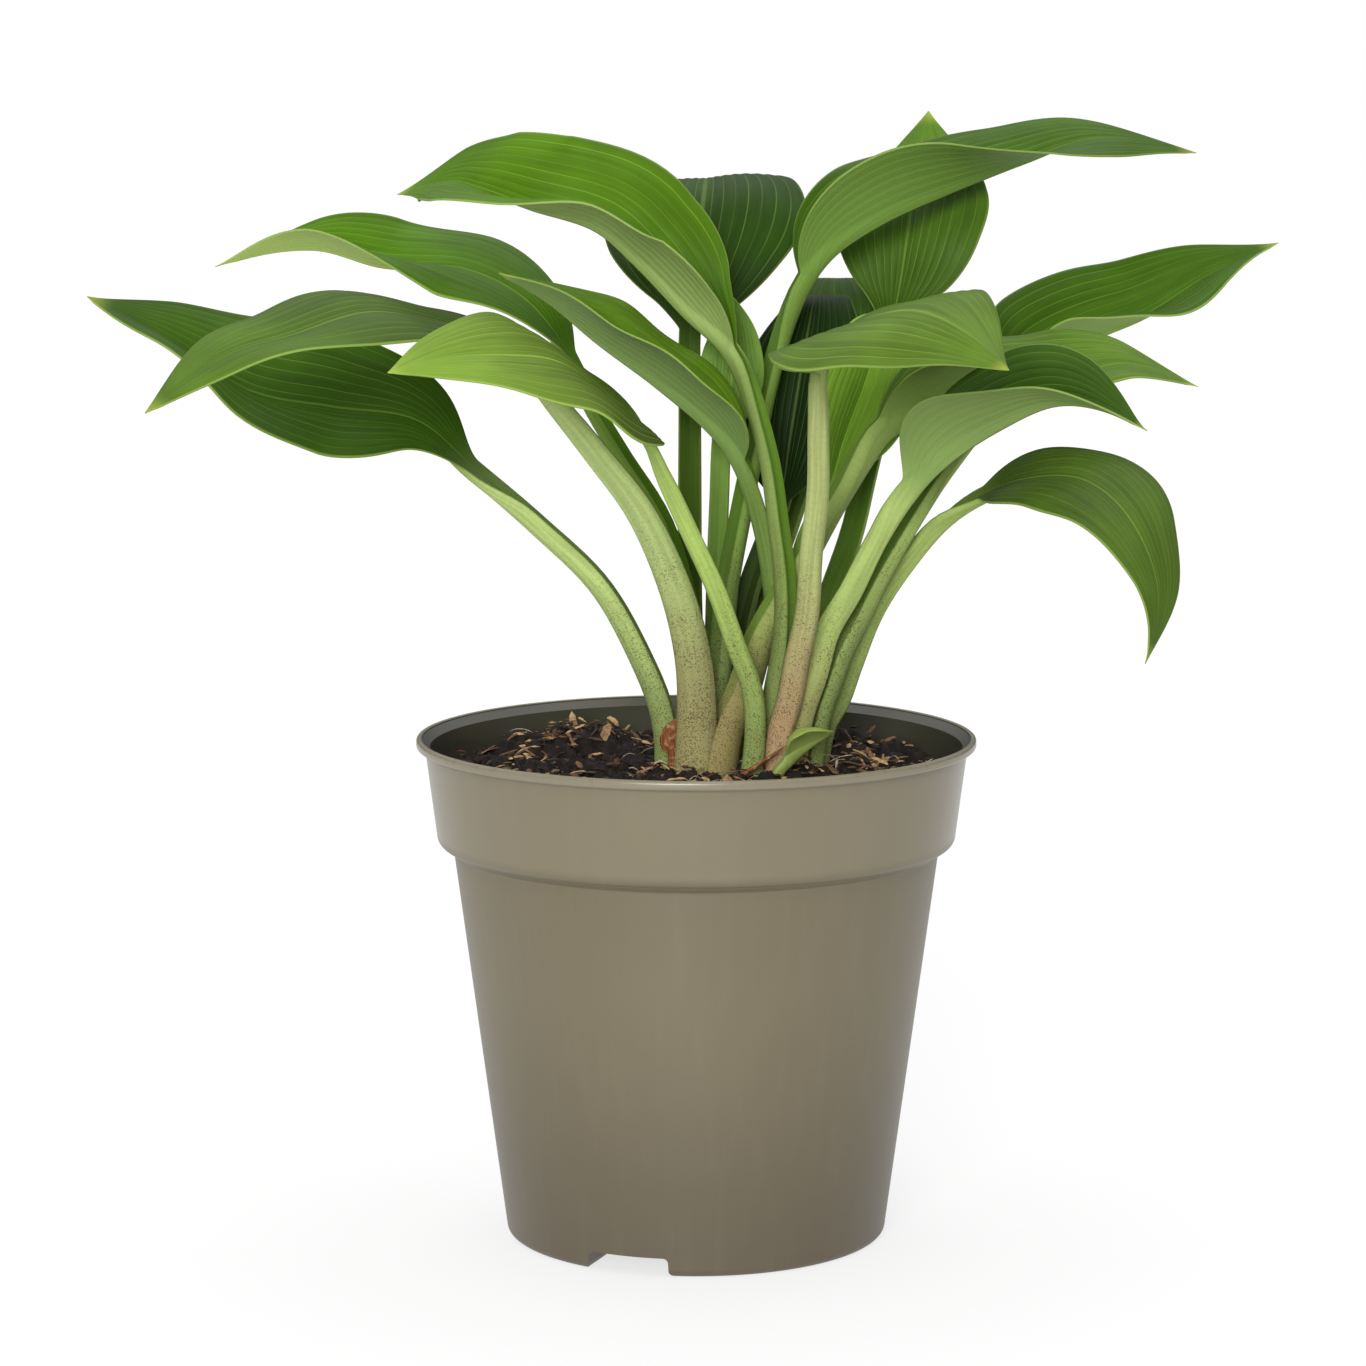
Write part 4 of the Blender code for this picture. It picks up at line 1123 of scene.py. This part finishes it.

# %% The colours of the leaves
# Upper face, lower face and stalk, as screen values. Besides each leaf's own tone they hold
# painted light and shade: leaves lying in shade among the others, such as leaf_middle_dark,
# are coloured darker, and the lower faces paler than the light beneath would make them.
LEAF_TONES_AND_PAINTED_LIGHT = {
    "leaf_left_low": ((51, 81, 11), (112, 138, 62), (174, 194, 118)),
    "leaf_left_front": ((72, 100, 24), (118, 146, 72), (166, 184, 116)),
    "leaf_left_back": ((66, 103, 6), (146, 168, 90), (112, 142, 58)),
    "leaf_left_inner": ((88, 123, 22), (112, 138, 74), (110, 136, 66)),
    "leaf_front_left": ((112, 142, 46), (132, 158, 84), (160, 184, 98)),
    "leaf_left_high": ((72, 108, 13), (154, 177, 103), (120, 140, 74)),
    "leaf_back_broad": ((35, 60, 8), (100, 126, 60), (110, 136, 54)),
    "leaf_right_high": ((57, 88, 14), (102, 132, 57), (112, 140, 62)),
    "leaf_front_right": ((82, 108, 35), (132, 158, 80), (160, 170, 108)),
    "leaf_middle_dark": ((22, 42, 11), (80, 104, 44), (84, 104, 44)),
    "leaf_back_upright": ((74, 106, 30), (110, 136, 60), (120, 146, 70)),
    "leaf_right_back": ((57, 89, 13), (118, 146, 70), (140, 162, 88)),
    "leaf_right_middle": ((84, 114, 36), (112, 138, 66), (134, 154, 82)),
    "leaf_right_front": ((48, 75, 17), (121, 145, 80), (160, 180, 104)),
    "leaf_right_drooping": ((68, 92, 27), (120, 146, 72), (150, 170, 94)),
    "leaf_middle_small": ((100, 132, 54), (126, 154, 77), (120, 146, 72)),
    "leaf_middle_right": ((109, 147, 44), (104, 132, 58), (120, 146, 70)),
    "leaf_back_low": ((58, 86, 28), (108, 134, 64), (120, 142, 66)),
    "young_shoot": ((122, 138, 66), (126, 142, 72), (140, 156, 88)),
}
BASE = (118, 134, 78)           # a stalk's base, green unless it blushes as the next ones do
BLUSHES = {
    "leaf_front_right": (166, 130, 102),
    "leaf_left_front": (140, 128, 88),
    "leaf_right_middle": (138, 120, 80),
    "leaf_right_front": (150, 140, 94),
}
PLAIN_PAINTED_SHADE = (0.28, 1.4)       # how much painted shade darkens a blade at its start, and where that ends
PAINTED_SHADES = {                      # the same for the blades that lie deeper in shade, with more painted shade
    "leaf_front_left": (0.85, 1.95),
    "leaf_left_front": (0.6, 1.85),
    "leaf_back_upright": (0.6, 1.6),
}
print("colours for", len(LEAF_TONES_AND_PAINTED_LIGHT), "pieces; blushing:", len(BLUSHES))

# %% Grow the leaves
for number, (node, plan) in enumerate(LEAVES.items()):
    piece = make_leaf(node + "_grown", dict(plan, phase=1.7 * number))
    slot = "shoot_tissue" if node == "young_shoot" else "leaf_tissue"
    colours = [tint(*tone) for tone in (*LEAF_TONES_AND_PAINTED_LIGHT[node], BLUSHES.get(node, BASE))]
    finish = leaf_finish(node + "_skin", *colours, 3.1 * number, *PAINTED_SHADES.get(node, PLAIN_PAINTED_SHADE))
    place(piece, slot, finish, node)

# %% [markdown]
# ## Dry sheaths
#
# Last year's leaf bases dry to brown paper and stand around the stalks. They have the
# same form as a leaf, so the same function makes them, with a finish of their own.

# %% Papery sheaths
def sheath_finish():
    """Brown paper, streaked along its length."""
    finish = Finish("dry_papery_sheath", Specular_IOR_Level=0.2)
    across, progress = map(finish.attribute, ("across", "progress"))
    streak = finish.noise(finish.vector(across * 9.0, progress * 3.0, 0.0), 1.0, 3.0, 0.6)
    blotch = finish.noise(finish.attribute("flat", 1), 0.5, 2.0)
    colour = finish.mix(streak.rise(0.3, 0.7), tint(150, 92, 48), tint(66, 40, 26))
    colour = finish.mix(blotch.rise(0.5, 0.7) * 0.6, colour, tint(186, 150, 112))
    finish.bump(streak, 0.0005, 0.6)
    return finish.coat(colour, 0.7)


SHEATHS = {
    "dry_sheath_left": dict(
        foot=(-7, -8), width=6, left=(20, 15, 10), right=(20, 15, 10), stalk_halves=(2.0, 1.2),
        heading=-90,
        stem=[(-7, -8, 145)],
        blade=[(-7, -9, 149), (-8, -10, 154), (-6, -10, 160)]),
    "dry_sheath_front": dict(
        foot=(7, -22), width=3, left=(20, 15, 10), right=(20, 15, 10), stalk_halves=(1.3, 1.0),
        stem=[(11, -22, 144)],
        blade=[(15, -22, 146), (20, -22, 149), (27, -22, 154)]),
}
papery = sheath_finish()
for node, plan in SHEATHS.items():
    place(make_leaf(node + "_grown", plan), "dry_sheath", papery, node)

# %% [markdown]
# ## Floor, light and camera
#
# A plain white floor under a white sky keeps attention on the plant. The sky lights it more
# from above than from the sides, so the undersides of the leaves stay darker. A broad soft
# key stands low in front, a little to the left, and models the pot and the folds of the
# leaves; a weaker, softer light falls from above and behind. The camera looks slightly down
# with a long lens, so that the rim shows as a flat ellipse.

# %% The floor
FLOOR_RADIUS = 8000.0           # in mm


def make_floor():
    """A white disc at the height of the foot."""
    turn = np.arange(64) * 2.0 * np.pi / 64
    rim = FLOOR_RADIUS * np.stack([np.cos(turn), np.sin(turn), 0.0 * turn], axis=1)
    floor = add_piece("floor", np.vstack([rim, (0.0, 0.0, 0.0)]), fan_faces(64, 0, 64))
    finish = Finish("white_floor", Specular_IOR_Level=0.0, Emission_Strength=0.7,
                    Emission_Color=(1.0, 1.0, 1.0, 1.0))
    floor.data.materials.append(finish.coat((0.25, 0.25, 0.25), 0.9))


make_floor()
print("floor at z = 0")

# %% Light
SKY_SIDES = 0.15                # light from the surround at the sides, as a share of white


def make_sky():
    """A white surround that lights the plant from above more than from its sides."""
    world = bpy.data.worlds.new("studio_surround")
    world.use_nodes = True
    sky = Nodes(world.node_tree)
    height = sky.parts(sky.node("ShaderNodeTexCoord", {}, {}, 0))[2]
    bright = height.rise(0.05, 0.7) * (1.0 - SKY_SIDES) + SKY_SIDES
    seen = sky.node("ShaderNodeLightPath", {}, {}, 0)
    background = world.node_tree.nodes["Background"].inputs
    sky.put(background["Color"], (1.0, 1.0, 1.0))
    sky.put(background["Strength"], bright + seen * (1.0 - bright))
    bpy.context.scene.world = world


def add_sun(name, strength, spread, tilt, turn):
    """A soft distant light: tilted from straight down, then turned about Z, in degrees."""
    data = bpy.data.lights.new(name, "SUN")
    data.energy = strength
    data.angle = np.radians(spread)
    lamp = bpy.data.objects.new(name, data)
    lamp.rotation_euler = (np.radians(tilt), 0.0, np.radians(turn))
    bpy.context.scene.collection.objects.link(lamp)


make_sky()
add_sun("key_from_front_left", 2.8, 25.0, 74.0, -9.0)
add_sun("top_from_behind", 0.9, 60.0, -18.0, 0.0)

# %% Camera
lens = bpy.data.cameras.new("camera")
lens.sensor_width = 36.0
lens.lens = 117.77
camera = bpy.data.objects.new("camera", lens)
camera.location = (0.0, -1.34146, 0.36544)
camera.rotation_euler = (np.pi / 2.0 - 0.145, 0.0, 0.003)
bpy.context.scene.collection.objects.link(camera)
bpy.context.scene.camera = camera
bpy.context.scene.view_settings.view_transform = "Standard"
print("the camera stands", camera.location[:], "with a lens of", lens.lens, "mm")
